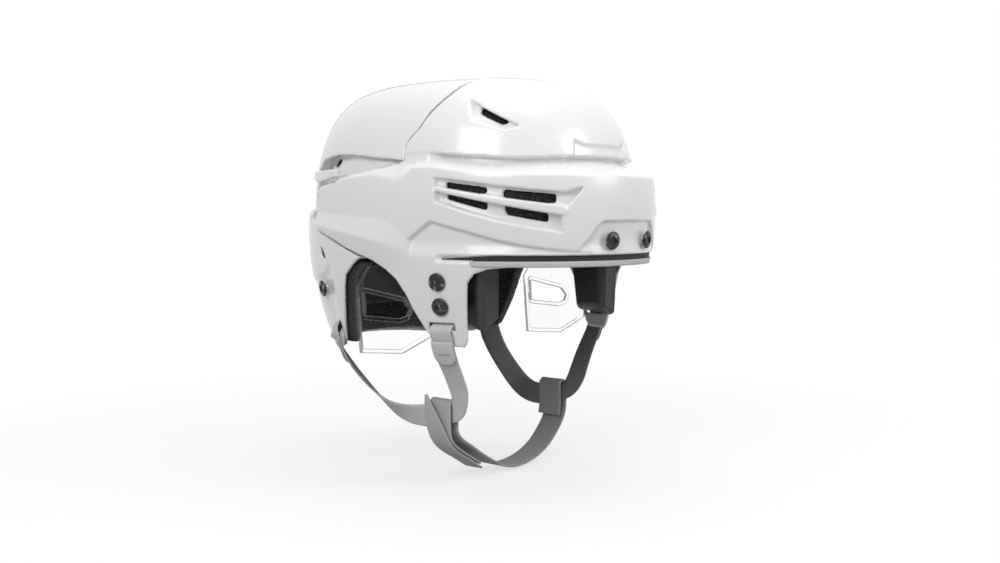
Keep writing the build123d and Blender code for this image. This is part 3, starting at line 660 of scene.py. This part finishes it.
def in_seat(x, y, z, place, outward):
    """Where places lie as seen from a seat: two numbers across it, and one outward."""
    first = unit(np.cross(outward, [0, 0, 1.0]))
    reach = (x - place[0], y - place[1], z - place[2])
    return [sum(r * part for r, part in zip(reach, axis))
            for axis in (first, np.cross(outward, first), outward)]


temple_seats = {name: [seat(band, (0, temple_y, level), (side, 0, 0)) for level in temple_levels]
                for name, side in sides.items()}


def guard_field(x, y, z):
    """The clear guard, the same on both sides."""
    x, lean = np.abs(x), unit(np.array([1.0, -guard_lean]))
    out = (x - guard_place[0]) * lean[0] + (y - guard_place[1]) * lean[1]
    edge, hole = polygon(y, z, guard_outline), polygon(y, z, ear_hole)
    low_edge = ramp(-20 - z, 0, 8) * ramp(y, -34, -26)
    high = (plate_face + hole_rim * ramp(3.2 - hole, 0, 0.8)
            + low_rim * ramp(edge + 3.2, 0, 0.8) * low_edge)
    rib = np.abs(z + 49 - np.clip(-5 - y, 0, 40) * 0.6)
    high = high + rib_rim * bump(rib, 0, 1.6) * ramp(-y + 22, 0, 2) * ramp(y + 26, 0, 2)
    plate = cut(cut(out - high, -out - plate_back, 0.5), cut(edge, -hole, 0.5), 0.6)
    for place, outward in temple_seats["left"]:
        u, v, w = in_seat(x, y, z, place, outward)
        around = np.hypot(u, v)
        boss = cut(around - boss_radius, np.maximum(w - boss_top, boss_reach - w), 0.6)
        plate = cut(join(plate, boss, 1.0), boss_bore - around, 0.3)
    return plate


guards = {name: on_side(name, "ear_guard_clear", guard_field,
                        (74.0, 94.0), (-62, 33), (-66, 4), 0.8) for name in sides}

# %% [markdown]
# The screws are dark, domed and driven by a six-sided key. A lathe shape with a hole would do, but
# the same fields give the rounded head and the socket in a few lines.

# %% The screws
head_radius, head_height, head_fall, head_under = 6.0, 2.9, 0.035, 0.45
shank_radius, shank_top, shank_end = 2.3, 1.2, -5.0
socket_size, socket_floor = 2.3, 1.2


def screw_field(seats):
    """Domed screws on their seats."""
    def field(x, y, z):
        total = np.full(np.shape(x), 50.0)
        for place, outward in seats:
            u, v, w = in_seat(x, y, z, place, outward)
            around = np.hypot(u, v)
            top = head_height - around ** 2 * head_fall
            head_part = cut(around - head_radius, np.maximum(w - top, head_under - w), 0.7)
            shank = np.maximum(around - shank_radius, np.maximum(w - shank_top, shank_end - w))
            six_sides = np.maximum(np.abs(u), np.abs(u) / 2 + np.abs(v) * 0.866) - socket_size
            socket = np.maximum(six_sides, socket_floor - w)
            total = np.minimum(total, cut(np.minimum(head_part, shank), -socket, 0.25))
        return total
    return field


screw_sets = {"brow_screws": [seat(band, (x, 0, 15.0), (0, -1, 0)) for x in (-20.0, 20.0)]}
for name, side in sides.items():
    screw_sets[f"temple_screws_{name}"] = temple_seats[name]
    screw_sets[f"rear_screw_{name}"] = [seat(skirt, (0, 71, -21), (side, 0, 0))]
screws = {}
for name, seats in screw_sets.items():
    places = np.array([place for place, outward in seats])
    screws[name] = mould(f"{name}_head", screw_field(seats), places.min(0) - 9, places.max(0) + 9,
                         0.45)

# %% [markdown]
# A small lever on the end of each arm locks the size. It turns on an upright pin at its front end
# and lies flush with the arm when it is shut.

# %% The size latches
latch_outline = [(43.4, 57.4), (71, 54.0), (84.5, 57.2), (82.5, 62.0), (60, 62.6), (43.4, 62.6)]
pin_place, pin_bore, knuckle_radius, knuckle_half = (93.645, 46, 60.2), 0.95, 2.6, 2.7
grip_height, grip_pitch = 0.7, 3.2


def latch_field(x, y, z):
    """A lever that follows the arm's wall, with a knuckle round its pin and a grip."""
    out = band(x, y, z)
    ridges = bump(np.mod(y, grip_pitch), grip_pitch / 2, 1.2)
    grip = grip_height * ridges * ramp(y, 66, 69) * (1 - ramp(y, 79, 81))
    plate = cut(cut(out - 1.0 - grip, -out - 2.6, 0.6), polygon(y, z, latch_outline), 0.8)
    plate = np.maximum(plate, 43.2 - y)
    around = np.hypot(np.abs(x) - pin_place[0], y - pin_place[1])
    knuckle = cut(around - knuckle_radius, np.abs(z - pin_place[2]) - knuckle_half, 0.5)
    return cut(join(plate, knuckle, 0.6), pin_bore - around, 0.2)


latches = {name: on_side(name, "size_latch_lever", latch_field,
                         (76.0, 100.0), (40, 88), (50, 66), 0.6) for name in sides}

# %% [markdown]
# A soft trim finishes the brow's lower edge: a bead lies in a groove above a pale lip, and the bead
# is painted black as painted shade of the groove. It could be a bevelled curve, but as a field it
# keeps to the shell's own wall all the way round.

# %% The brow trim
# How deep in the wall the strip's back, its bead and its lip lie
trim_back, bead_face, lip_face = 4.2, 2.0, 0.9


def trim_field(x, y, z):
    """The bead and the lip along the brow's lower edge."""
    out = band(x, y, z)
    taper = ramp(-y, 46, 90)
    bead = cut(cut(out + bead_face, -out - trim_back, 0.6),
               cut(z - 3.6 - 1.9 * taper, 3.0 - taper - z, 0.5), 0.4)
    lip = cut(cut(out + lip_face, -out - trim_back, 0.6), cut(z - 2.2, -1.7 - z, 0.8), 0.5)
    return join(cut(bead, y + 50, 0.4), cut(lip, y + 69, 0.5), 0.2)


brow_trim = mould("brow_trim_bead", trim_field, (-104, -138, -4), (104, -46, 8), 0.8)

# %% [markdown]
# The harness is flat webbing, sewn to itself round slots and loops. Straps like these are modelled
# directly: a thin section is carried along a smooth route, and turned by the direction of its
# width. Each corner keeps how far along, how far across and on which face it lies, which is what
# the weave and the painted shade of the face towards the head follow.

# %% Webbing
def smooth(places, count):
    """A smooth line through places, with so many points from one place to the next."""
    places = np.asarray(places, float)
    ends = np.vstack([2 * places[0] - places[1], places, 2 * places[-1] - places[-2]])
    line = []
    for a, b, c, d in zip(ends, ends[1:], ends[2:], ends[3:]):
        for share in np.arange(count) / count:
            line.append(0.5 * (2 * b + (c - a) * share + (2 * a - 5 * b + 4 * c - d) * share ** 2
                               + (3 * b - 3 * c + d - a) * share ** 3))
    return np.vstack([line, places[-1:]])


def run_along(line):
    """How far along a line each of its places lies."""
    return np.concatenate([[0], np.cumsum(np.linalg.norm(np.diff(line, axis=0), axis=1))])


# A strap's section: one flat side and one round edge, then the same turned by half
half_section = [
    (-0.47, 0.5), (-0.36, 0.5), (-0.18, 0.5), (0, 0.5), (0.18, 0.5), (0.36, 0.5), (0.47, 0.5),
    (0.5, 0.12), (0.5, -0.12)
]
section = half_section + [(-u, -v) for u, v in half_section]
end_faces = [(j, 15 - j, 14 - j, j + 1) for j in range(6)] + [(6, 9, 8, 7), (0, 17, 16, 15)]
end_faces = np.array(end_faces)


def ribbon(name, route, turns, widths, thickness, lift=0.0, count=6):
    """A strap along a route, its width turned by a direction at each place."""
    line, across = smooth(route, count), smooth(turns, count)
    width = np.clip(smooth(np.column_stack([widths] * 3), count)[:, :1], 0.5, None)
    ahead = unit(np.gradient(line, axis=0))
    across = unit(across - ahead * (across * ahead).sum(1, keepdims=True))
    face, run = np.cross(ahead, across), run_along(line)
    # The face that looks away from the head is the outer one; the other face gets painted shade
    away = np.tile([0.0, -0.3, -0.6], (len(line), 1))
    away[:, 0] = np.clip(line[:, 0] / 20, -1, 1)
    outer = np.tanh(4 * (face * away).sum(1))
    places = np.stack([line + across * width * u + face * (thickness * v + lift)
                       for u, v in section], 1).reshape(-1, 3)
    spots = np.stack([np.column_stack([width[:, 0] * u, run, 2 * v * outer])
                      for u, v in section], 1).reshape(-1, 3)
    number = np.arange(len(places)).reshape(len(line), len(section))
    here, there = number[:-1], number[1:]
    sheath = np.stack([here, there, np.roll(there, -1, 1), np.roll(here, -1, 1)], -1).reshape(-1, 4)
    piece = mesh_object(name, places, np.concatenate([sheath, end_faces[:, ::-1],
                                                      end_faces + number[-1, 0]]))
    mark = piece.data.attributes.new("strap_place", "FLOAT_VECTOR", "POINT")
    mark.data.foreach_set("vector", spots.astype(np.float32).ravel())
    print(name, "is", round(run[-1]), "mm long")
    return piece


def mirrored(places, side):
    """Places for one side, from those of the left."""
    return [(x * side, y, z) for x, y, z in places]


# %% [markdown]
# Each strap leaves its slot, hangs down and turns in to the chin strap's loop. A route lists places
# along its middle, and the turns list which way its width points there. Where it leaves the slot it
# is sewn down with a tab, which follows the strap's own route.

# %% The straps' routes
front_route = [
    (82.6, -46, -35.6), (83, -46, -38.4), (87.9, -46, -43.0), (85.9, -46, -49.9),
    (83.6, -45.5, -56), (78.9, -44.6, -64.5), (73.2, -44, -74), (68.2, -43.6, -83.5),
    (65.6, -42.6, -90.5), (63.4, -40, -97), (62, -35.6, -101.5), (61.2, -30, -103.8),
    (60.8, -24, -104.5)
]
front_turns = [
    *[(0.24, 1, 0)] * 5, (0.18, 1, 0), (0.1, 1, 0), (0.05, 1, 0), (0, 1, 0.2), (0, 0.9, 0.5),
    (0, 0.6, 0.85), (0, 0.3, 1), (0, 0.1, 1)
]
rear_route = [
    (74.8, 66.6, -46.3), (76, 66, -47.3), (81.3, 62.5, -51.6), (81.2, 58.5, -57.5),
    (79.6, 53.5, -66.5), (77.8, 46.8, -75.6), (75.8, 37.5, -85), (73.4, 26.3, -94.5),
    (70.6, 15, -102), (66.6, 3, -105.8), (62.6, -9, -106.2), (60.9, -19.2, -105.2)
]
rear_turns = [
    *[(-0.417, 0.833, -0.37)] * 3, (-0.6, 0.75, -0.3), (-0.75, 0.6, -0.27), (-0.815, 0.5, -0.26),
    (-0.815, 0.44, -0.3), (-0.78, 0.4, -0.42), (-0.65, 0.3, -0.62), (-0.4, 0.2, -0.85),
    (-0.15, 0.1, -1), (0, 0, -1)
]
strap_width, strap_thickness, tab_thickness = 16.0, 1.4, 1.2
tab_lift = (strap_thickness + tab_thickness) / 2 + 0.3
tab_shape = [(0, 1.0), (6, 1.0), (12, 1.0), (14.6, 0.86), (16.2, 0.62), (17.0, 0.3)]
routes = {"front": (front_route, front_turns, [strap_width] * 8 + [15, 13.5, 12, 11, 11]),
          "rear": (rear_route, rear_turns, [strap_width] * len(rear_route))}


def tab_route(route, turns, start=3, fine=12):
    """The places, turns and widths of a sewn tab that starts at a place of a strap's route."""
    line, across = smooth(route, fine), smooth(turns, fine)
    run = run_along(line)
    stops = run[start * fine] + np.array([stop for stop, share in tab_shape])
    places, directions = [np.column_stack([np.interp(stops, run, column) for column in part.T])
                          for part in (line, across)]
    return places, directions, [strap_width * share for stop, share in tab_shape]


straps, tabs = {}, {}
for name, side in sides.items():
    for end, (route, turns, widths) in routes.items():
        route, turns = mirrored(route, side), mirrored(turns, side)
        straps[end, name] = ribbon(f"{end}_webbing_{name}", route, turns, widths, strap_thickness)
        tabs[end, name] = ribbon(f"{end}_tab_webbing_{name}", *tab_route(route, turns),
                                 tab_thickness, side * tab_lift, 3)

# %% [markdown]
# The chin strap goes round each side's straps in a loop, hangs in a bow between them and ends on
# the near side in a loose, pointed end.

# %% The chin strap and its loose end
chin_loop = [(57.4, -97.4), (58.4, -95), (61.1, -93.7), (63.8, -95), (64.8, -97.4)]
chin_line = [
    (56.1, -119.9), (57.4, -111.9), *chin_loop, (64.8, -113), (62.9, -120.2), (59, -126.3),
    (52.5, -133), (43, -140.6), (31, -146), (18, -149), (5, -149.6), (-8, -147), (-20, -141.4),
    (-32, -134.5), (-43.5, -127), (-52.4, -121.2), (-56.6, -116.2), (-57.4, -110.9),
    *[(-x, z) for x, z in chin_loop], (-64.8, -114.2), (-62.4, -121.1), (-56.7, -126.8),
    (-46, -133.5), (-34, -140.6)
]
chin_width, chin_thickness, chin_place = 20.0, 1.6, -24.0
chin_strap = ribbon("chin_webbing", [(x, chin_place, z) for x, z in chin_line],
                    [(0, 1, 0)] * len(chin_line), [chin_width] * len(chin_line), chin_thickness)
tail_line = [
    (-35.9, -29, -143.1), (-47.5, -28.4, -135.9), (-58.5, -27, -129), (-64.9, -25.4, -122),
    (-68.3, -23.2, -113), (-69.6, -19.5, -102), (-69.6, -15.5, -90)
]
chin_tail = ribbon("chin_tail_webbing", tail_line, [(0, 1, 0)] * len(tail_line),
                   [16, 16, 16, 16.5, 15.5, 10, 1.5], strap_thickness)

# %% [markdown]
# Every piece now takes its place in the frame: it rides on the body that carries it and stands for
# its CAD node. The rear straps cross the size slide, so they ride on neither body. The nuts and the
# latch pins keep their CAD shapes.

# %% Putting the pieces in the frame
def fit(piece, node, body):
    """The piece stands for a CAD node and rides on a body, if one is given."""
    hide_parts(node)
    if body:
        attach(piece, body)


fit(front_shell, "front_shell", "front")
fit(rear_shell, "rear_shell", "rear")
fit(brow_trim, "brow_trim", "front")
fit(front_liner, "front_liner", "front")
fit(rear_liner, "rear_liner", "rear")
fit(forehead_pad, "forehead_pad", "front")
fit(crown_pad, "crown_pad", "rear")
fit(nape_pad, "nape_pad", "rear")
fit(chin_strap, "chin_strap", "front")
fit(chin_tail, "chin_tail", "front")
for name, side in sides.items():
    fit(side_pads[name], f"side_pad_{name}", "rear")
    fit(temple_pads[name], f"temple_pad_{name}", "front")
    fit(guards[name], f"ear_guard_{name}", "front")
    fit(latches[name], f"size_latch_{name}", f"latch_{name}")
    fit(straps["front", name], f"front_strap_{name}", "front")
    fit(straps["rear", name], f"rear_strap_{name}", None)
    for end in routes:
        fit(tabs[end, name], f"{end}_tab_{name}", end)
    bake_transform(straps["rear", name])
for name, piece in screws.items():
    fit(piece, name, "rear" if name.startswith("rear") else "front")

# %% [markdown]
# A material is a small network of nodes. Wiring them one by one is long, so a socket is wrapped in
# a class whose operators add Math nodes, and one method adds any other node. The bake keeps what
# feeds the base colour, the roughness, the alpha and the bump, so that is all that varies.

# %% Writing materials as arithmetic
class Wire:
    """A number that comes out of a node; arithmetic on it adds Math nodes."""

    def __init__(self, tree, socket):
        self.tree, self.socket = tree, socket

    def math(self, kind, *numbers):
        """A Math node on one or two numbers."""
        node = self.tree.nodes.new("ShaderNodeMath")
        node.operation = kind
        for place, value in zip(node.inputs, numbers):
            feed(self.tree, place, value)
        return Wire(self.tree, node.outputs[0])

    def __add__(self, other):
        return self.math("ADD", self, other)

    def __sub__(self, other):
        return self.math("SUBTRACT", self, other)

    def __rsub__(self, other):
        return self.math("SUBTRACT", other, self)

    def __mul__(self, other):
        return self.math("MULTIPLY", self, other)

    def __pow__(self, other):
        return self.math("POWER", self, other)

    def __truediv__(self, other):
        return self.math("DIVIDE", self, other)

    def __abs__(self):
        return self.math("ABSOLUTE", self)

    __radd__, __rmul__ = __add__, __mul__

    def wave(self, length):
        """A ripple from 0 to 1 with this wavelength."""
        return self.math("SINE", self * (2 * math.pi / length)) * 0.5 + 0.5

    def above(self, low, blur):
        """1 where the number is above a value, with a soft start."""
        return self.between(low, 9.0, blur)

    def between(self, low, high, blur):
        """1 where the number lies between two values, with soft ends."""
        rise, fall = (self - low) / blur, (high - self) / blur
        least = self.math("MINIMUM", rise, fall) + 0.5
        return least.math("MINIMUM", least.math("MAXIMUM", least, 0.0), 1.0)


def feed(tree, place, value):
    """Puts a number, a colour or a link into a socket."""
    if isinstance(value, Wire):
        tree.links.new(value.socket, place)
    else:
        place.default_value = (*value, 1.0) if place.type == "RGBA" else value


class Net:
    """A tree of nodes while it is written."""

    def __init__(self, tree):
        self.tree = tree

    def node(self, kind, settings, sockets, output=0):
        """Any node: its settings first, then its sockets, then the output that is wanted."""
        node = self.tree.nodes.new("ShaderNode" + kind)
        for key, value in settings.items():
            setattr(node, key, value)
        for key, value in sockets.items():
            feed(self.tree, node.inputs[key], value)
        return Wire(self.tree, node.outputs[output])

    def axis(self, vector, name):
        """One of the three numbers of a place or a direction."""
        return self.node("SeparateXYZ", {}, {"Vector": vector}, name)

    def ray(self, kind):
        """1 for rays of this kind."""
        return self.node("LightPath", {}, {}, f"Is {kind} Ray")

    def seen(self):
        """1 for what the camera sees, straight on, in a reflection or through clear plastic."""
        total = self.ray("Camera") + self.ray("Glossy") + self.ray("Transmission")
        return total.math("MINIMUM", total, 1.0)


class Finish(Net):
    """A material while its nodes are written."""

    def __init__(self, name, **sockets):
        self.material = bpy.data.materials.new(name)
        self.material.use_nodes = True
        super().__init__(self.material.node_tree)
        self.shader = self.tree.nodes["Principled BSDF"]
        self.set(**sockets)

    def set(self, **sockets):
        """Sets the shader's sockets, named with _ for a space."""
        for key, value in sockets.items():
            feed(self.tree, self.shader.inputs[key.replace("_", " ")], value)

    def place(self):
        """The place on the piece, in metres."""
        return self.node("TexCoord", {}, {}, "Object")

    def facing(self):
        """The direction that the surface looks in."""
        return self.node("NewGeometry", {}, {}, "Normal")

    def noise(self, scale, detail=3.0):
        """Cloudy noise with so many clouds to the metre."""
        return self.node("TexNoise", {}, {"Vector": self.place(), "Scale": scale, "Detail": detail},
                         "Fac")

    def mix(self, share, first, second):
        """One colour fading into another."""
        return self.node("Mix", {"data_type": "RGBA"}, {0: share, 6: first, 7: second}, 2)

    def bump(self, height, depth, strength=1.0):
        """Feeds a height into the normal, so many metres deep."""
        sockets = {"Height": height, "Distance": depth, "Strength": strength}
        self.set(Normal=self.node("Bump", {}, sockets, "Normal"))


def dress(finish, *pieces):
    """Gives pieces one material."""
    for piece in pieces:
        piece.data.materials.clear()
        piece.data.materials.append(finish.material)
    print(finish.material.name, "is on", len(pieces), "pieces")

# %% [markdown]
# The shells are injection-moulded white plastic with a clear gloss. Real ones are not flat: the
# surface swells and sinks a few hundredths of a millimetre, and the gloss is uneven where hands
# have been. Both are noise, one in the bump and one in the roughness.

# %% White moulded plastic
white = Finish("white_plastic", IOR=1.49, Coat_Roughness=0.08)
smudge = white.noise(28.0, 4.0)
grain = white.noise(900.0, 2.0)
white.set(Base_Color=white.mix(smudge, (0.84, 0.842, 0.847), (0.865, 0.866, 0.869)),
          Roughness=smudge * 0.1 + grain * 0.04 + 0.2, Coat_Weight=0.35)
white.bump(white.noise(30.0, 1.0) + grain * 0.03, 0.0001, 0.12)
dress(white, front_shell, rear_shell, *latches.values())

# %% [markdown]
# Bead foam shows its beads as small pillows with fine dark seams. A Voronoi texture gives them.

# %% Bead foam
foam_finish = Finish("bead_foam")
beads = foam_finish.node("TexVoronoi", {"feature": "DISTANCE_TO_EDGE"},
                         {"Vector": foam_finish.place(), "Scale": 330.0}, "Distance")
seams = beads.above(0.12, 0.16)
# Faces round the ear openings that look forward and down are painted paler: painted light
look_y, look_z = [foam_finish.axis(foam_finish.facing(), axis) for axis in "YZ"]
aside = foam_finish.axis(foam_finish.place(), "X")
painted_light_share = (look_y * -1.0 - look_z * 0.6).above(0.6, 0.4) * abs(aside).above(0.07, 0.008)
beaded = foam_finish.mix(seams, (0.008, 0.008, 0.009), (0.026, 0.027, 0.03))
foam_finish.set(Base_Color=foam_finish.mix(painted_light_share * 0.85, beaded, (0.1, 0.101, 0.104)),
                Roughness=0.9 - seams * 0.12)
foam_finish.bump(seams + foam_finish.noise(1500.0) * 0.3, 0.0005)
dress(foam_finish, front_liner, rear_liner)

# %% [markdown]
# The pads wear a tight black knit. Two crossing ripples with a little noise read as its loops.

# %% Pad cloth
knit = Finish("pad_knit", Sheen_Weight=0.25, Sheen_Roughness=0.5)
spot_x, spot_y, spot_z = [knit.axis(knit.place(), axis) for axis in "XYZ"]
loops = (spot_z + spot_y * 0.4).wave(0.0013) * (spot_x + spot_y).wave(0.0017)
fuzz = knit.noise(700.0)
knit.set(Base_Color=knit.mix(loops * 0.7 + fuzz * 0.3, (0.006, 0.006, 0.007), (0.036, 0.036, 0.04)),
         Roughness=0.72 + fuzz * 0.2)
knit.bump(loops + fuzz * 0.4, 0.0004, 0.8)
dress(knit, forehead_pad, crown_pad, nape_pad, *side_pads.values())

# %% [markdown]
# The thick pads beside the face are moulded foam with a smooth skin, so they take a soft light.

# %% Skinned foam
skin = Finish("skinned_foam")
dust = skin.noise(120.0, 5.0)
skin.set(Base_Color=skin.mix(dust, (0.009, 0.009, 0.011), (0.02, 0.02, 0.023)),
         Roughness=0.42 + dust * 0.2)
skin.bump(skin.noise(1800.0, 2.0), 0.00015, 0.5)
dress(skin, *temple_pads.values())

# %% [markdown]
# Clear plastic shows mostly at its edges, where the eye looks into the wall. The plate faces
# sideways, so the surface's own direction tells its edges and rims from its face. There the
# plastic is painted dark and opaque, a painted shade, and Layer Weight adds opacity where a low
# glance sees it, a painted reflection.

# %% Clear plastic
clear = Finish("clear_plastic", IOR=1.49)
painted_wall_shade = (1 - abs(clear.axis(clear.facing(), "X"))).above(0.28, 0.3)
glance = clear.node("LayerWeight", {}, {"Blend": 0.3}, "Facing") ** 2.0
haze = clear.noise(40.0, 4.0)
# Edges and rims are painted dark and opaque as painted shade; a low glance adds a painted
# reflection
clear.set(Base_Color=clear.mix(painted_wall_shade, (0.6, 0.62, 0.64), (0.16, 0.164, 0.17)),
          Roughness=haze * 0.1 + 0.05, Alpha=painted_wall_shade * 0.72 + glance * 0.2 + haze * 0.03)
clear.bump(haze, 0.0002, 0.3)
dress(clear, *guards.values())

# %% [markdown]
# The screws are blackened steel, a little worn to bright metal. The nuts are plated.

# %% Screws, nuts and pins
def steel(name, dark, bright, rough):
    """Turned metal: fine streaks and a few worn spots."""
    metal = Finish(name)
    worn = metal.noise(260.0, 6.0).above(0.62, 0.12)
    metal.set(Base_Color=metal.mix(worn, dark, bright), Metallic=0.85,
              Roughness=metal.noise(900.0) * 0.18 + rough)
    metal.bump(metal.noise(2500.0, 2.0), 0.00006, 0.4)
    return metal


black_steel = steel("black_steel", (0.035, 0.036, 0.04), (0.22, 0.22, 0.23), 0.2)
plated_steel = steel("plated_steel", (0.52, 0.52, 0.54), (0.66, 0.66, 0.68), 0.22)
dress(black_steel, *screws.values())
dress(plated_steel, nodes["brow_nuts"], *[nodes[f"{kind}_{name}"] for name in sides
                                         for kind in ("temple_nuts", "rear_nut", "latch_pin")])

# %% [markdown]
# The trim is one strip in two colours, parted by height: a bead painted black as painted shade,
# above a pale lip.

# %% Trim
trim = Finish("brow_trim_rubber")
lip_share = trim.axis(trim.place(), "Z").between(-1.0, 0.0021, 0.0003)
mottle = trim.noise(300.0, 4.0)
# The bead's black is painted shade; the lip's pale grey is its own colour
trim.set(Base_Color=trim.mix(lip_share, (0.006, 0.006, 0.007), (0.6, 0.6, 0.605)),
         Roughness=0.6 + mottle * 0.2)
trim.bump(mottle, 0.0001, 0.5)
dress(trim, brow_trim)

# %% [markdown]
# The webbing's weave follows the strap: ribs run across it, warp threads along it, and the side
# towards the head is painted darker as painted shade. All three come from the marks that each
# corner keeps. The sewn tabs add a line of stitches.

# %% Woven webbing
def webbing_finish(name, outer_colour, painted_shade_colour, stitched=False):
    """Woven strap material, in millimetres along and across the strap."""
    weave = Finish(name, Sheen_Weight=0.15, Sheen_Roughness=0.4)
    mark = weave.node("Attribute", {"attribute_name": "strap_place"}, {}, "Vector")
    across, run, face = [weave.axis(mark, axis) for axis in "XYZ"]
    threads = run.wave(0.95) * 0.6 + (across + run * 0.5).wave(1.05) * 0.4
    fray = weave.noise(900.0, 4.0)
    shade = threads * 0.5 + fray * 0.5
    outer, inner = [weave.mix(shade, [c * dark for c in colour], [c * bright for c in colour])
                    for colour, dark, bright in ((outer_colour, 0.82, 1.14),
                                                 (painted_shade_colour, 0.75, 1.3))]
    # The face towards the head is painted darker, as painted shade
    colour = weave.mix(face.above(0.0, 0.3), inner, outer)
    height = threads + fray * 0.3
    if stitched:
        dashes = across.wave(2.2).above(0.3, 0.15) * across.between(-4.4, 4.4, 0.2)
        rows = run.between(8.6, 9.5, 0.3) * dashes
        colour = weave.mix(rows * 0.7, colour, (0.07, 0.07, 0.075))
        height = height + rows * 1.5
    weave.set(Base_Color=colour, Roughness=0.7 + fray * 0.2)
    weave.bump(height, 0.0003, 0.8)
    return weave


# Each second colour is painted shade for the face towards the head
strap_finish = webbing_finish("strap_weave", (0.66, 0.66, 0.67), (0.2, 0.2, 0.205))
chin_finish = webbing_finish("chin_weave", (0.5, 0.5, 0.51), (0.36, 0.36, 0.365))
tab_finish = webbing_finish("tab_weave", (0.72, 0.72, 0.73), (0.3, 0.3, 0.31), stitched=True)
dress(strap_finish, *straps.values())
dress(chin_finish, chin_strap, chin_tail)
dress(tab_finish, *tabs.values())

# %% [markdown]
# The photograph is a catalogue picture: an even white surround and soft light. The floor is white
# too. Near the helmet it keeps the shadow, and further out it fades into the white of the surround.

# %% The floor
floor_height = float(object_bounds()[0][2]) - 0.002
shadow_near, shadow_far, shadow_share = 0.16, 0.6, 0.3
bpy.ops.mesh.primitive_circle_add(vertices=96, radius=4.0, fill_type="TRIFAN",
                                  location=(0, 0, floor_height))
floor = bpy.context.object
floor.name = "studio_floor"
paper = Finish("floor_paper", Roughness=0.8)
across = paper.node("VectorMath", {"operation": "LENGTH"}, {0: paper.place()}, "Value")
near = paper.node("MapRange", {"interpolation_type": "SMOOTHSTEP"}, {
    "Value": across, "From Min": shadow_near, "From Max": shadow_far, "To Min": shadow_share,
    "To Max": 0.0}, "Result")
seen = paper.seen()
paper.set(Base_Color=paper.mix(seen, (0.3, 0.3, 0.3), (0.95, 0.95, 0.95)))
glow = paper.node("Emission", {}, {"Color": (1, 1, 1), "Strength": 1.0}, "Emission")
paint = Wire(paper.tree, paper.shader.outputs[0])
blend = paper.node("MixShader", {}, {0: seen * (1 - near), 1: paint, 2: glow})
feed(paper.tree, paper.tree.nodes["Material Output"].inputs["Surface"], blend)
dress(paper, floor)

# %% [markdown]
# What the camera sees of the surround is plain white. What lights the helmet is weaker, and
# brighter above than below, so that the undersides of the creases stay darker. A dark card behind
# the crown draws a fine line along its edge, in reflections only.

# %% The surround
room_low, room_rise, room_middle, room_blur = 0.12, 0.34, 0.1, 1.6
card_way, card_edge, card_blur, card_share = (0.6864, 0.7094, 0.1596), 0.985, 0.008, 0.95
world = bpy.data.worlds.new("white_surround")
bpy.context.scene.world = world
world.use_nodes = True
sky = Net(world.node_tree)
toward = sky.node("TexCoord", {}, {}, "Generated")
room = sky.axis(toward, "Z").above(room_middle, room_blur) * room_rise + room_low
card = sky.node("VectorMath", {"operation": "DOT_PRODUCT"}, {0: toward, 1: card_way}, "Value")
dark = card.above(card_edge, card_blur) * sky.ray("Glossy") * card_share
seen = sky.seen()
background = sky.tree.nodes["Background"]
feed(sky.tree, background.inputs["Color"], (1.0, 1.0, 1.0))
feed(sky.tree, background.inputs["Strength"], seen - dark + room * (1 - seen))
print("surround of", len(sky.tree.nodes), "nodes")

# %% [markdown]
# Three soft square lamps look at the helmet's middle: a large one above, one in front and a
# stronger one at the side, which draws the shell's creases.

# %% The lamps
for name, place, size, power in [("overhead", (0.1, -0.1, 1.5), 1.2, 8.0),
                                 ("front", (0.6, -1.3, 0.7), 0.8, 8.0),
                                 ("side", (-1.25, -0.4, 0.85), 0.8, 10.5)]:
    data = bpy.data.lights.new(name, "AREA")
    data.size, data.energy = size, power
    light = bpy.data.objects.new(name, data)
    light.location = place
    way = Vector((0, 0, 0.02)) - Vector(place)
    light.rotation_euler = way.to_track_quat("-Z", "Y").to_euler()
    bpy.context.scene.collection.objects.link(light)
    print("lamp", name, "of", power, "watts")
bpy.context.scene.view_settings.view_transform = "Standard"
